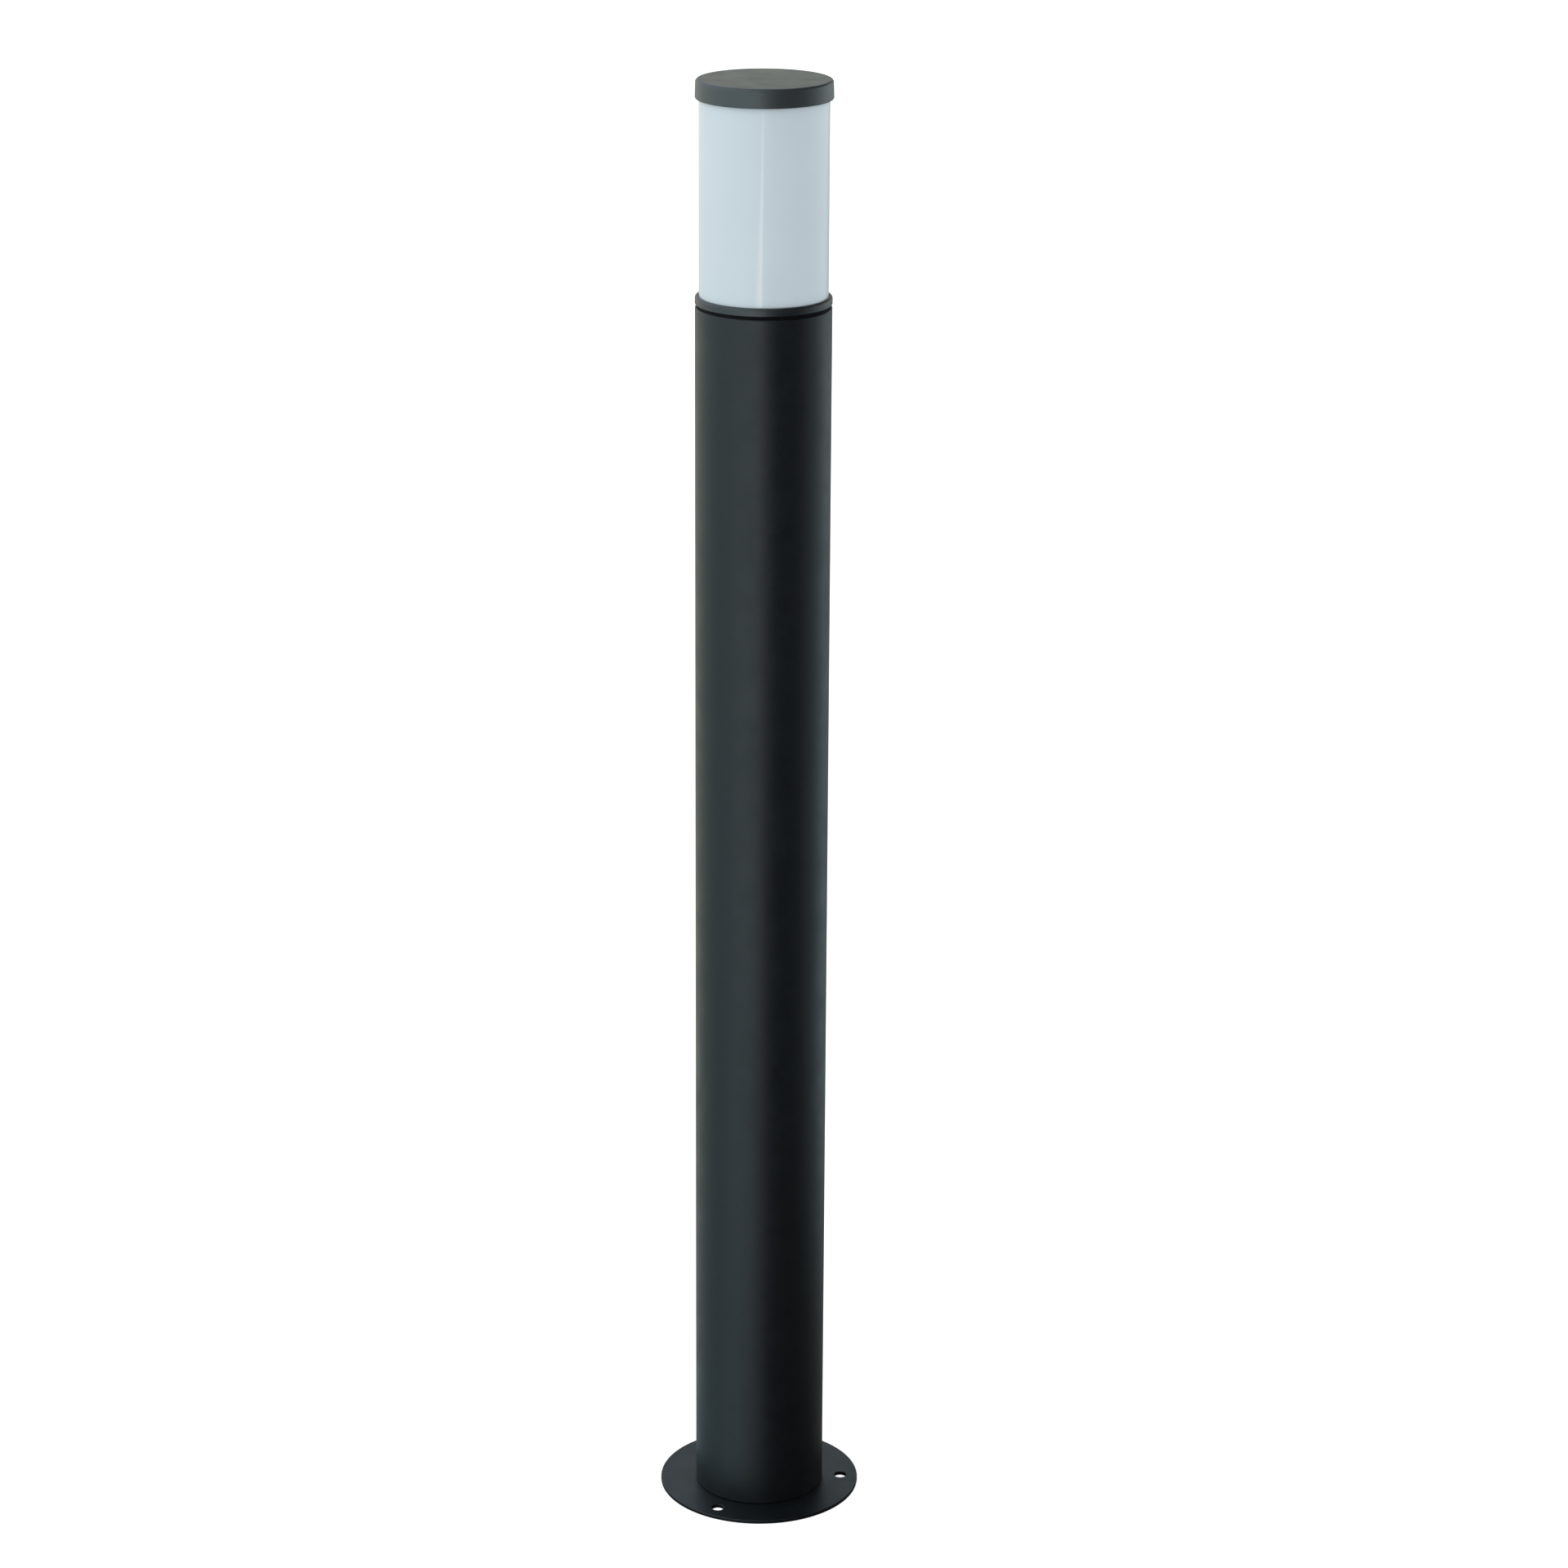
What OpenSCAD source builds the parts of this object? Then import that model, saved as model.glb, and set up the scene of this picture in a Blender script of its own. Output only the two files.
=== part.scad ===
// Path light: a round post on a flange, with an opal lantern head that lifts off.
// All sizes are in millimetres. +Z is up, and the origin is the centre of the flange's underside.

/* [Overall] */
// Height from the underside of the flange to the top of the cap
light_h = 1000; // [600:10:1400]

/* [Base flange] */
// Diameter of the flange
flange_d = 140; // [130:1:220]
// Thickness of the flange
flange_t = 2.5; // [2.5:0.5:6]
// Rounding of the flange's edge
flange_edge = 0.5; // [0.2:0.1:1]
// Number of anchor holes
anchor_count = 3; // [3:1:6]
// Diameter of an anchor hole
anchor_d = 8.5; // [5:0.5:12]
// Distance from the flange's edge to the middle of an anchor hole
anchor_inset = 12; // [8:1:16]
// Diameter of the cable hole
cable_hole_d = 26; // [20:1:36]
// Wall of the rubber bush in the cable hole
bush_wall = 3; // [2:0.5:5]
// Height of the bush's shoulder above the flange
bush_shoulder_h = 2; // [1:0.5:4]
// Width of the bush's shoulder past the hole
bush_shoulder_w = 3; // [1:0.5:5]

/* [Post] */
// Outside diameter of the post
post_d = 90; // [86:1:98]
// Wall of the post
post_wall = 2.5; // [2:0.5:4]
// Chamfer on both ends of the post
post_chamfer = 0.6; // [0.2:0.1:1]
// Outside diameter of a screw port, which runs up the inside of the post
port_d = 10; // [9:0.5:11]
// Width of a port's open side
port_slot = 2; // [1:0.5:3]

/* [Cap] */
// Height of the cap's side
cap_h = 12.5; // [10:0.5:20]
// Thickness of the cap's top
cap_top_t = 4; // [3:0.5:6]
// Rounding of the cap's top edge
cap_edge = 2; // [0.5:0.5:3]
// How far the cap's side leans in towards its top, as a casting's does
cap_draft = 0.3; // [0:0.1:0.8]
// Rounding of the cap's lower edge
cap_lip = 1; // [0.4:0.2:1]
// Length of a threaded boss under the cap
cap_boss_l = 8; // [6:1:12]

/* [Diffuser] */
// Height of diffuser that shows between the ring and the cap
window_h = 128.5; // [120:0.5:200]
// Distance from the diffuser to the post's outside, as seen from the front
reveal = 2.5; // [2:0.25:3.5]
// Wall of the diffuser
diffuser_wall = 3; // [2:0.5:4]
// Thickness of the flat seals at both ends of the diffuser
seal_t = 1; // [0.5:0.5:2]

/* [Head ring] */
// Height of the ring that shows under the diffuser
ring_h = 5; // [4:0.5:12]
// How far the ring stands out past the post
ring_proud = 0.1; // [0:0.1:2]
// Rounding of the ring's top edge
ring_edge = 1.8; // [0.4:0.2:2]
// Floor under the diffuser's seat
seat_floor = 1; // [1:0.5:2]
// Length of the spigot that goes down into the post
spigot_l = 26; // [24:1:60]
// Wall of the spigot
spigot_wall = 2.2; // [1.8:0.2:3]
// Thickness of the gasket between the ring and the post
gasket_t = 2.5; // [1:0.5:5]
// How far the gasket lies back from the post's outside
gasket_recess = 1; // [0.5:0.25:1.5]

/* [Tie rods] */
// Number of rods that draw the cap down on the ring
rod_count = 3; // [2:1:3]
// Diameter of a rod
rod_d = 4; // [3:0.5:5]
// Thickness of the ring's lug under each rod
lug_t = 6; // [4:0.5:8]
// Across flats of a rod's nut
rod_nut_af = 7; // [7:0.5:8]
// Thickness of a rod's nut
rod_nut_t = 3.2; // [2.5:0.1:4]
// Diameter of a rod's washer
rod_washer_d = 8.8; // [8.4:0.2:9.4]
// Thickness of a rod's washer
rod_washer_t = 0.8; // [0.5:0.1:1]

/* [Gear plate] */
// Thickness of the plate that carries the lamp holder and the terminals
plate_t = 2; // [1.5:0.5:4]
// Room between the plate and the spigot
plate_gap = 6; // [4:0.5:10]
// Diameter of the screws that go into the post's ports
port_screw_d = 4.2; // [3.5:0.1:4.8]
// Length of the screws that go into the post's ports
port_screw_l = 16; // [10:1:30]
// Diameter of the heads of the port, bracket and earth screws
screw_head_d = 8; // [7:0.5:8]
// Height of a pan head
pan_h = 2.8; // [2:0.2:3.2]

/* [Cable gland] */
// Thread diameter of the gland
gland_d = 16; // [12:1:16]
// Across flats of the gland's nuts
gland_af = 20; // [19:0.5:22]
// Diameter of the hole in the gland's seal
gland_bore = 8; // [5:0.5:8.5]

/* [Terminal block] */
// Distance from pole to pole
pole_pitch = 10; // [9:0.5:10.5]
// Depth of the block, along its wires
block_w = 18; // [17:0.5:20]
// Height of the block
block_h = 12; // [10:0.5:14]
// Diameter of a brass terminal barrel
barrel_d = 5.2; // [4.8:0.1:5.4]

/* [Lamp holder] */
// Height of the bracket that carries the lamp holder
bracket_h = 23; // [21:0.5:30]
// Width of the bracket's strip
bracket_w = 16; // [12:1:17]
// Thickness of the bracket's strip
bracket_t = 1.5; // [1:0.5:2]
// Outside diameter of the lamp holder
holder_d = 43; // [38:1:46]
// Height of the lamp holder
holder_h = 46; // [44:1:56]

/* [Bulb] */
// Diameter of the bulb
bulb_d = 60; // [45:1:62]
// Length of the bulb with its screw cap
bulb_l = 108; // [95:1:118]

/* [Hidden] */
$fn = 96;

// Clearances: eps lets a cut run past a face, fit is for screws and bushes, slip is for parts that slide in
eps = 0.1;
fit = 0.1;
slip = 0.3;
seat_slip = 0.25;

// Heights, from the top down
z_cap_low = light_h - cap_h;
z_cap_under = light_h - cap_top_t;
z_ring_top = z_cap_low - window_h;
z_ring_low = z_ring_top - ring_h;
z_seat = z_ring_low + seat_floor;
z_post_top = z_ring_low - gasket_t;
z_spigot_low = z_ring_low - spigot_l;
z_plate_top = z_spigot_low - plate_gap;
z_plate_low = z_plate_top - plate_t;
z_lug_low = z_seat - lug_t;
z_bridge_top = z_plate_top + bracket_h;
z_bridge_low = z_bridge_top - bracket_t;

// Radii of the main bodies
flange_r = flange_d / 2;
post_r = post_d / 2;
post_ir = post_r - post_wall;
cap_r = post_r;
ring_r = post_r + ring_proud;
spigot_r = post_ir - slip;
spigot_ir = spigot_r - spigot_wall;
diffuser_r = post_r - reveal;
diffuser_ir = diffuser_r - diffuser_wall;
seat_r = diffuser_r + seat_slip;
plate_r = post_ir - slip;

// The anchor holes start at the right, and the screw ports stand between them
anchor_r = flange_r - anchor_inset;
port_count = 3;
port_turn = 60;
port_sink = 0.7;
port_r = post_ir - port_d / 2 + port_sink;

// The cable bush fits the flange's hole
bush_r = cable_hole_d / 2 - fit;
bush_ir = bush_r - bush_wall;
bush_lift = 0.3;

// Countersunk heads lie a little inside the flange
csk_recess = 0.2;
csk_h = (screw_head_d - port_screw_d) / 2;

// The rods stand as far out as the diffuser and the spigot leave room for
rod_gap = 2.5;
washer_gap = 0.6;
rod_r = min(diffuser_ir - rod_gap - rod_d / 2, spigot_ir - washer_gap - rod_washer_d / 2);
rod_tail = 1.5;
boss_d = rod_d + 4;
lug_d = 9;
z_washer_low = z_lug_low - rod_washer_t;
z_nut_low = z_washer_low - rod_nut_t;
boss_roof = 2;
z_rod_top = light_h - boss_roof - fit;

// The lock screw goes through the back of the post into a boss on the spigot
lock_turn = 90;
lock_d = 4;
lock_l = 8;
lock_boss = 9;
lock_hole_d = lock_d + 0.8;
lock_sunk = 0.4;
z_lock = z_spigot_low + lock_boss / 2 + 1;
lock_boss_r = post_r - lock_sunk - lock_l - 0.5;

// Screws
socket_share = 0.5;
socket_depth = 1.6;
m4_d = 4;
plate_screw_l = 7;

// Cable gland, with its height zero at the underside of the gear plate
gland_turn = 120;
gland_r = 24;
gland_hex_t = 5;
gland_thread_up = 8;
gland_thread_down = 14;
gland_wall = 2;
gland_nut_t = 5;
gland_nut_low = 20;
gland_nut_end = 3.5;

// Terminal block, in the room on the right of the lamp holder
pole_count = 3;
block_l = pole_count * pole_pitch;
block_clear = 1.5;
block_x = sqrt(pow(spigot_ir - block_clear, 2) - pow(block_w / 2, 2)) - block_l / 2;
barrel_l = 14;
z_barrel = z_plate_top + block_h / 2;
wire_bore_d = 3.2;
clamp_d = 2.6;
clamp_y = 4;
chimney_d = 3.8;
block_screw_d = 3;
block_screw_head_d = 5.4;

// Earth terminal on the gear plate
earth_x = 9;
earth_y = -25;
lug_plate_t = 0.8;
lug_plate_r = 4;
lug_barrel_d = 4;
lug_barrel_l = 6;

// Bracket for the lamp holder, a strip folded into a bridge with two feet
bracket_turn = 60;
bracket_leg = 17;
bracket_foot = 29;
bracket_bend = 1;
bracket_screw_r = 23.5;

// Hollow threaded nipple between the bracket and the lamp holder
nipple_d = 10;
nipple_bore_d = 7.6;
nipple_down = 6;
nipple_up = 8;
nipple_nut_af = 14;
nipple_nut_t = 3;

// Lamp holder
holder_neck_r = 16;
holder_floor = 3;
holder_shoulder = 14;
terminal_room_r = 12;
terminal_room_h = 12;
partition_t = 4;
shell_r = 14.6;
shell_t = 0.6;
shell_h = 25;
z_partition_low = z_bridge_top + holder_floor + terminal_room_h;
z_partition_top = z_partition_low + partition_t;
holder_lip = 1.5;
rivet_d = 2.4;
shell_rivet_y = -9;
contact_r = 4;
contact_t = 1.5;
z_contact = z_partition_top + contact_t;

// Bulb
bulb_cap_r = 13.2;
bulb_seat_gap = 0.3;
bulb_cap_h = z_bridge_top + holder_h + bulb_seat_gap - z_contact;
bulb_tip_r = 4.5;
bulb_tip_h = 3;
bulb_neck_r = 15.5;
bulb_neck_z = 30;

// Leads: radius, sides, and the points of each route
lead_r = 1.2;
lead_sides = 8;
lead_gap = 1.7;
lead_in = 2;
block_face = -block_w / 2;
live_route = [
    [pole_x(0), -lead_in, z_barrel],
    [pole_x(0), block_face - 2, z_barrel],
    [pole_x(0) - 1, block_face - 5, z_barrel + 1],
    [pole_x(0) - 4, block_face - 7, z_barrel + 3],
    [pole_x(0) - 8, block_face - 5, z_barrel + 4.5],
    [lead_gap + 1.5, block_face, z_barrel + 5],
    [lead_gap + 0.3, -4, z_barrel + 6],
    [lead_gap, -1, z_bridge_low - nipple_down - 1],
    [lead_gap, 0, z_bridge_low],
    [lead_gap, 0, z_bridge_top + nipple_up],
    [0.6, 0, z_partition_low - 4],
    [0, 0, z_partition_low - 1.5],
    [0, 0, z_partition_low],
];
neutral_route = [
    [pole_x(1), -lead_in, z_barrel],
    [pole_x(1), block_face - 3, z_barrel],
    [pole_x(1) - 2, block_face - 9, z_barrel + 1],
    [pole_x(1) - 8, block_face - 12, z_barrel + 2],
    [pole_x(1) - 17, block_face - 9, z_barrel + 3],
    [-lead_gap - 3, block_face - 3, z_barrel + 4.5],
    [-lead_gap - 1, -6, z_barrel + 5.5],
    [-lead_gap, -1.5, z_bridge_low - nipple_down - 1.5],
    [-lead_gap, 0, z_bridge_low],
    [-lead_gap, 0, z_bridge_top + nipple_up],
    [-lead_gap, -3.5, z_partition_low - 5],
    [-0.5, shell_rivet_y + 1, z_partition_low - 3.5],
    [0, shell_rivet_y, z_partition_low - 1.5],
    [0, shell_rivet_y, z_partition_low],
];
earth_route = [
    [pole_x(2), -lead_in, z_barrel],
    [pole_x(2), block_face - 2, z_barrel],
    [pole_x(2) - 1, block_face - 6, z_barrel - 1],
    [pole_x(2) - 5, block_face - 12, z_barrel - 2.5],
    [pole_x(2) - 10, earth_y + 0.5, z_barrel - 3.5],
    [earth_x + lug_plate_r + lug_barrel_l + 2, earth_y, z_plate_top + lug_barrel_d / 2],
    [earth_x + lug_plate_r + lug_barrel_l - 3, earth_y, z_plate_top + lug_barrel_d / 2],
];

// Middle of a pole of the terminal block, counted from the lamp holder
function pole_x(i) = block_x + (i - (pole_count - 1) / 2) * pole_pitch;

// Points of an arc about c from angle a0 to angle a1
function arc(c, r, a0, a1, steps = 6) =
    [for (i = [0:steps]) let (a = a0 + (a1 - a0) * i / steps) c + r * [cos(a), sin(a)]];

// Radius of a hexagon's corners from its across flats
function hex_r(af) = af / 2 / cos(30);

// Unit vector
function unit(v) = v / norm(v);

// Direction of a route at each of its points
function tangents(route) =
    [for (i = [0:len(route) - 1]) unit(route[min(i + 1, len(route) - 1)] - route[max(i - 1, 0)])];

// One side vector for each point, carried along the route without twist
function sides(dirs, side, i = 0) =
    i == len(dirs) ? [] :
    let (turned = unit(side - (side * dirs[i]) * dirs[i]))
    concat([turned], sides(dirs, turned, i + 1));

// Copies of the children round the axis, the first at angle turn
module round_axis(count, radius, turn = 0) {
    for (i = [0:count - 1])
        rotate(turn + i * 360 / count)
            translate([radius, 0, 0])
                children();
}

// Upright tube from radius r0 to radius r1
module ring(r0, r1, z, h) {
    translate([0, 0, z])
        difference() {
            cylinder(r = r1, h = h);
            translate([0, 0, -eps])
                cylinder(r = r0, h = h + 2 * eps);
        }
}

// Hexagonal nut with a plain bore, its lower face at height z
module hex_nut(af, t, bore_d, z) {
    translate([0, 0, z])
        difference() {
            cylinder(r = hex_r(af), h = t, $fn = 6);
            translate([0, 0, -eps])
                cylinder(d = bore_d, h = t + 2 * eps);
        }
}

// Pan-head screw with a hexagonal socket, seated at height zero and pointing down
module pan_screw(d, l, head_d, head_h) {
    edge = head_h / 2;
    difference() {
        union() {
            rotate_extrude()
                polygon(concat([[0, 0], [head_d / 2, 0]], arc([head_d / 2 - edge, head_h - edge], edge, 0, 90),
                    [[0, head_h]]));
            translate([0, 0, -l])
                cylinder(d = d, h = l + eps);
        }
        translate([0, 0, head_h - socket_depth])
            cylinder(d = head_d * socket_share, h = socket_depth + eps, $fn = 6);
    }
}

// Closed eight-sided tube along a route
module lead(route) {
    dirs = tangents(route);
    across = sides(dirs, [0, 0, 1]);
    last = len(route) - 1;
    points = [for (i = [0:last], k = [0:lead_sides - 1])
        let (a = k * 360 / lead_sides)
        route[i] + lead_r * (cos(a) * across[i] + sin(a) * cross(dirs[i], across[i]))];
    walls = [for (i = [0:last - 1], k = [0:lead_sides - 1])
        let (n = (k + 1) % lead_sides)
        [i * lead_sides + k, (i + 1) * lead_sides + k, (i + 1) * lead_sides + n, i * lead_sides + n]];
    start = [for (k = [0:lead_sides - 1]) k];
    end = [for (k = [0:lead_sides - 1]) last * lead_sides + lead_sides - 1 - k];
    polyhedron(points, concat(walls, [start], [end]));
}

// Round steel plate with anchor holes, countersunk post screws and a cable hole
module base_flange() {
    e = flange_edge;
    color("#33383b")
        difference() {
            rotate_extrude()
                polygon(concat([[0, 0]], arc([flange_r - e, e], e, -90, 0, 3),
                    arc([flange_r - e, flange_t - e], e, 0, 90, 3), [[0, flange_t]]));
            translate([0, 0, -eps])
                cylinder(d = cable_hole_d, h = flange_t + 2 * eps);
            round_axis(anchor_count, anchor_r)
                translate([0, 0, -eps])
                    cylinder(d = anchor_d, h = flange_t + 2 * eps);
            round_axis(port_count, port_r, port_turn) {
                translate([0, 0, -eps])
                    cylinder(d = port_screw_d + 2 * fit, h = flange_t + 2 * eps);
                translate([0, 0, -eps])
                    cylinder(d = screw_head_d + 2 * fit, h = csk_recess + eps);
                translate([0, 0, csk_recess])
                    cylinder(d1 = screw_head_d + 2 * fit, d2 = port_screw_d + 2 * fit, h = csk_h);
            }
        }
}

// Rubber bush that lines the flange's cable hole
module cable_bush() {
    color("#1c1c1c") {
        difference() {
            union() {
                translate([0, 0, bush_lift])
                    cylinder(r = bush_r, h = flange_t - bush_lift + eps);
                translate([0, 0, flange_t])
                    cylinder(r = bush_r + bush_shoulder_w, h = bush_shoulder_h);
            }
            cylinder(r = bush_ir, h = flange_t + bush_shoulder_h + eps);
        }
    }
}

// Countersunk screws from below, up into the post's ports
module flange_screws() {
    color("#b9bcbe")
        round_axis(port_count, port_r, port_turn)
            translate([0, 0, csk_recess])
                difference() {
                    union() {
                        cylinder(d1 = screw_head_d, d2 = port_screw_d, h = csk_h);
                        cylinder(d = port_screw_d, h = port_screw_l);
                    }
                    translate([0, 0, -eps])
                        cylinder(d = screw_head_d * socket_share, h = socket_depth + eps, $fn = 6);
                }
}

// Section of the extruded post: a round wall with three screw ports, open towards the axis
module post_section() {
    difference() {
        circle(r = post_r);
        difference() {
            circle(r = post_ir);
            round_axis(port_count, port_r, port_turn)
                circle(d = port_d);
        }
        round_axis(port_count, port_r, port_turn) {
            circle(d = port_screw_d + fit);
            translate([-port_d, -port_slot / 2])
                square([port_d, port_slot]);
        }
    }
}

// What a chamfer takes off the post's lower end, with the end at height zero
module end_chamfer() {
    rotate_extrude()
        polygon([
            [post_r - post_chamfer - eps, -eps], [post_r + eps, -eps], [post_r + eps, post_chamfer + eps],
        ]);
}

// Extruded post, with the ports cut back at the top to let the spigot in
module post_tube() {
    color("#303538")
        difference() {
            translate([0, 0, flange_t])
                linear_extrude(z_post_top - flange_t)
                    post_section();
            translate([0, 0, z_plate_low])
                cylinder(r = post_ir, h = z_post_top);
            translate([0, 0, flange_t])
                end_chamfer();
            translate([0, 0, z_post_top])
                mirror([0, 0, 1])
                    end_chamfer();
            rotate(lock_turn)
                translate([spigot_r, 0, z_lock])
                    rotate([0, 90, 0])
                        cylinder(d = lock_hole_d, h = post_r);
        }
}

// Round plate on the ports' tops, which carries the lamp holder and the terminals
module gear_plate() {
    color("#c9cccd")
        difference() {
            translate([0, 0, z_plate_low])
                cylinder(r = plate_r, h = plate_t);
            translate([0, 0, z_plate_low - eps]) {
                round_axis(port_count, port_r, port_turn)
                    cylinder(d = port_screw_d + 2 * fit, h = plate_t + 2 * eps);
                round_axis(1, gland_r, gland_turn)
                    cylinder(d = gland_d + 2 * fit, h = plate_t + 2 * eps);
                round_axis(2, bracket_screw_r, bracket_turn)
                    cylinder(d = m4_d + fit, h = plate_t + 2 * eps);
                translate([earth_x, earth_y, 0])
                    cylinder(d = m4_d + fit, h = plate_t + 2 * eps);
                block_screw_places()
                    cylinder(d = block_screw_d + fit, h = plate_t + 2 * eps);
            }
        }
}

// Pan-head screws that hold the gear plate on the ports
module gear_screws() {
    color("#b9bcbe")
        round_axis(port_count, port_r, port_turn)
            translate([0, 0, z_plate_top])
                pan_screw(port_screw_d, port_screw_l, screw_head_d, pan_h);
}

// The gland's place on the gear plate, with height zero at the plate's underside
module at_gland() {
    round_axis(1, gland_r, gland_turn)
        translate([0, 0, z_plate_low])
            children();
}

// Gland body: a hexagon under the plate, threaded up through it and down into its nut
module gland_body() {
    color("#4a4e50")
        at_gland()
            difference() {
                union() {
                    translate([0, 0, -gland_thread_down])
                        cylinder(d = gland_d, h = gland_thread_down + gland_thread_up);
                    translate([0, 0, -gland_hex_t])
                        cylinder(r = hex_r(gland_af), h = gland_hex_t, $fn = 6);
                }
                translate([0, 0, -gland_thread_down - eps])
                    cylinder(d = gland_d - 2 * gland_wall, h = gland_thread_down + gland_thread_up + 2 * eps);
            }
}

// Rubber sleeve that closes on the cable inside the gland
module gland_seal() {
    color("#1c1c1c")
        at_gland()
            ring(gland_bore / 2, gland_d / 2 - gland_wall - fit, gland_nut_end - gland_nut_low,
                gland_nut_low - gland_nut_end - gland_hex_t);
}

// Dome nut that presses the seal
module gland_nut() {
    seal_r = gland_d / 2 - gland_wall;
    color("#4a4e50")
        at_gland()
            translate([0, 0, -gland_nut_low])
                difference() {
                    union() {
                        cylinder(r1 = seal_r + 2, r2 = gland_af / 2, h = gland_nut_end, $fn = 48);
                        translate([0, 0, gland_nut_end])
                            cylinder(r = hex_r(gland_af), h = gland_nut_low - gland_nut_end - gland_hex_t - fit,
                                $fn = 6);
                    }
                    translate([0, 0, -eps])
                        cylinder(d = gland_bore + 1, h = gland_nut_end + 2 * eps);
                    translate([0, 0, gland_nut_end])
                        cylinder(d = gland_d + 2 * fit, h = gland_nut_low);
                }
}

// Flat nut that holds the gland on top of the plate
module gland_locknut() {
    color("#4a4e50")
        at_gland()
            hex_nut(gland_af, gland_nut_t, gland_d + 2 * fit, plate_t);
}

// The two screw places between the poles of the terminal block
module block_screw_places() {
    for (side = [-1, 1])
        translate([block_x + side * pole_pitch / 2, 0, 0])
            children();
}

// Moulded block with one cell and two screw chimneys for each pole
module terminal_block() {
    color("#e6e4dc")
        difference() {
            translate([block_x - block_l / 2, -block_w / 2, z_plate_top])
                cube([block_l, block_w, block_h]);
            for (i = [0:pole_count - 1])
                translate([pole_x(i), 0, z_barrel]) {
                    rotate([90, 0, 0])
                        cylinder(d = barrel_d + 2 * fit, h = block_w + 2 * eps, center = true);
                    for (side = [-1, 1])
                        translate([0, side * clamp_y, 0])
                            cylinder(d = chimney_d, h = block_h);
                }
            block_screw_places()
                translate([0, 0, z_plate_top - eps]) {
                    cylinder(d = block_screw_d + 2 * fit, h = block_h + 2 * eps);
                    translate([0, 0, block_h - pan_h])
                        cylinder(d = block_screw_head_d + 4 * fit, h = pan_h + 2 * eps);
                }
        }
}

// Brass barrel in each cell, bored for the wires and drilled for its clamp screws
module terminal_barrels() {
    color("#c8a24a")
        for (i = [0:pole_count - 1])
            translate([pole_x(i), 0, z_barrel])
                difference() {
                    rotate([90, 0, 0])
                        cylinder(d = barrel_d, h = barrel_l, center = true);
                    rotate([90, 0, 0])
                        cylinder(d = wire_bore_d, h = barrel_l + 2 * eps, center = true);
                    for (side = [-1, 1])
                        translate([0, side * clamp_y, 0])
                            cylinder(d = clamp_d + fit, h = barrel_d);
                }
}

// Clamp screws, down through the chimneys onto the wires
module terminal_screws() {
    low = lead_r + fit;
    high = block_h / 2 - 1;
    color("#d0d2d3")
        for (i = [0:pole_count - 1], side = [-1, 1])
            translate([pole_x(i), side * clamp_y, z_barrel])
                difference() {
                    translate([0, 0, low])
                        cylinder(d = clamp_d, h = high - low);
                    translate([-clamp_d, -0.3, high - 0.8])
                        cube([2 * clamp_d, 0.6, 1]);
                }
}

// Screws that hold the terminal block on the plate
module block_screws() {
    color("#b9bcbe")
        block_screw_places()
            translate([0, 0, z_plate_top + block_h - pan_h])
                pan_screw(block_screw_d, block_h - pan_h + plate_t, block_screw_head_d, pan_h - 0.4);
}

// Ring terminal: a plate under the earth screw and a barrel that grips the earth lead
module earth_lug() {
    barrel_x = earth_x + lug_plate_r;
    color("#c9cccd")
        difference() {
            union() {
                translate([earth_x, earth_y, z_plate_top])
                    cylinder(r = lug_plate_r + 0.5, h = lug_plate_t);
                translate([earth_x, earth_y - 1.5, z_plate_top])
                    cube([lug_plate_r + 2, 3, lug_plate_t]);
                translate([barrel_x + 1, earth_y, z_plate_top + lug_barrel_d / 2])
                    rotate([0, 90, 0])
                        cylinder(d = lug_barrel_d, h = lug_barrel_l);
            }
            translate([barrel_x + 3, earth_y, z_plate_top + lug_barrel_d / 2])
                rotate([0, 90, 0])
                    cylinder(r = lead_r + fit, h = lug_barrel_l);
            translate([earth_x, earth_y, z_plate_top - eps])
                cylinder(d = m4_d + 2 * fit, h = lug_barrel_d);
        }
}

// Earth screw on the gear plate
module earth_screw() {
    color("#b9bcbe")
        translate([earth_x, earth_y, z_plate_top + lug_plate_t])
            pan_screw(m4_d, plate_screw_l, screw_head_d, pan_h);
}

// Folded steel bridge with two feet
module holder_bracket() {
    t = bracket_t;
    bend = bracket_bend;
    outer = bend + t;
    half = concat(
        arc([bracket_leg - outer, bracket_h - outer], outer, 90, 0),
        arc([bracket_leg + bend, outer], bend, 180, 270),
        [[bracket_foot, t], [bracket_foot, 0]],
        arc([bracket_leg + bend, outer], outer, 270, 180),
        arc([bracket_leg - outer, bracket_h - outer], bend, 0, 90));
    mirrored = [for (i = [len(half) - 1:-1:0]) [-half[i][0], half[i][1]]];
    color("#c9cccd")
        rotate(bracket_turn)
            translate([0, 0, z_plate_top])
                difference() {
                    rotate([90, 0, 0])
                        linear_extrude(bracket_w, center = true)
                            polygon(concat(half, mirrored));
                    round_axis(2, bracket_screw_r)
                        translate([0, 0, -eps])
                            cylinder(d = m4_d + 2 * fit, h = t + 2 * eps);
                    translate([0, 0, bracket_h - t - eps])
                        cylinder(d = nipple_d + 2 * fit, h = t + 2 * eps);
                }
}

// Screws through the bracket's feet into the plate
module bracket_screws() {
    color("#b9bcbe")
        round_axis(2, bracket_screw_r, bracket_turn)
            translate([0, 0, z_plate_top + bracket_t])
                pan_screw(m4_d, plate_screw_l, screw_head_d, pan_h);
}

// Hollow threaded nipple, through which the leads go up
module holder_nipple() {
    color("#c8a24a")
        ring(nipple_bore_d / 2, nipple_d / 2, z_bridge_low - nipple_down, nipple_down + bracket_t + nipple_up);
}

// Nut under the bridge
module nipple_nut() {
    color("#c9cccd")
        hex_nut(nipple_nut_af, nipple_nut_t, nipple_d + 2 * fit, z_bridge_low - nipple_nut_t);
}

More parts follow.
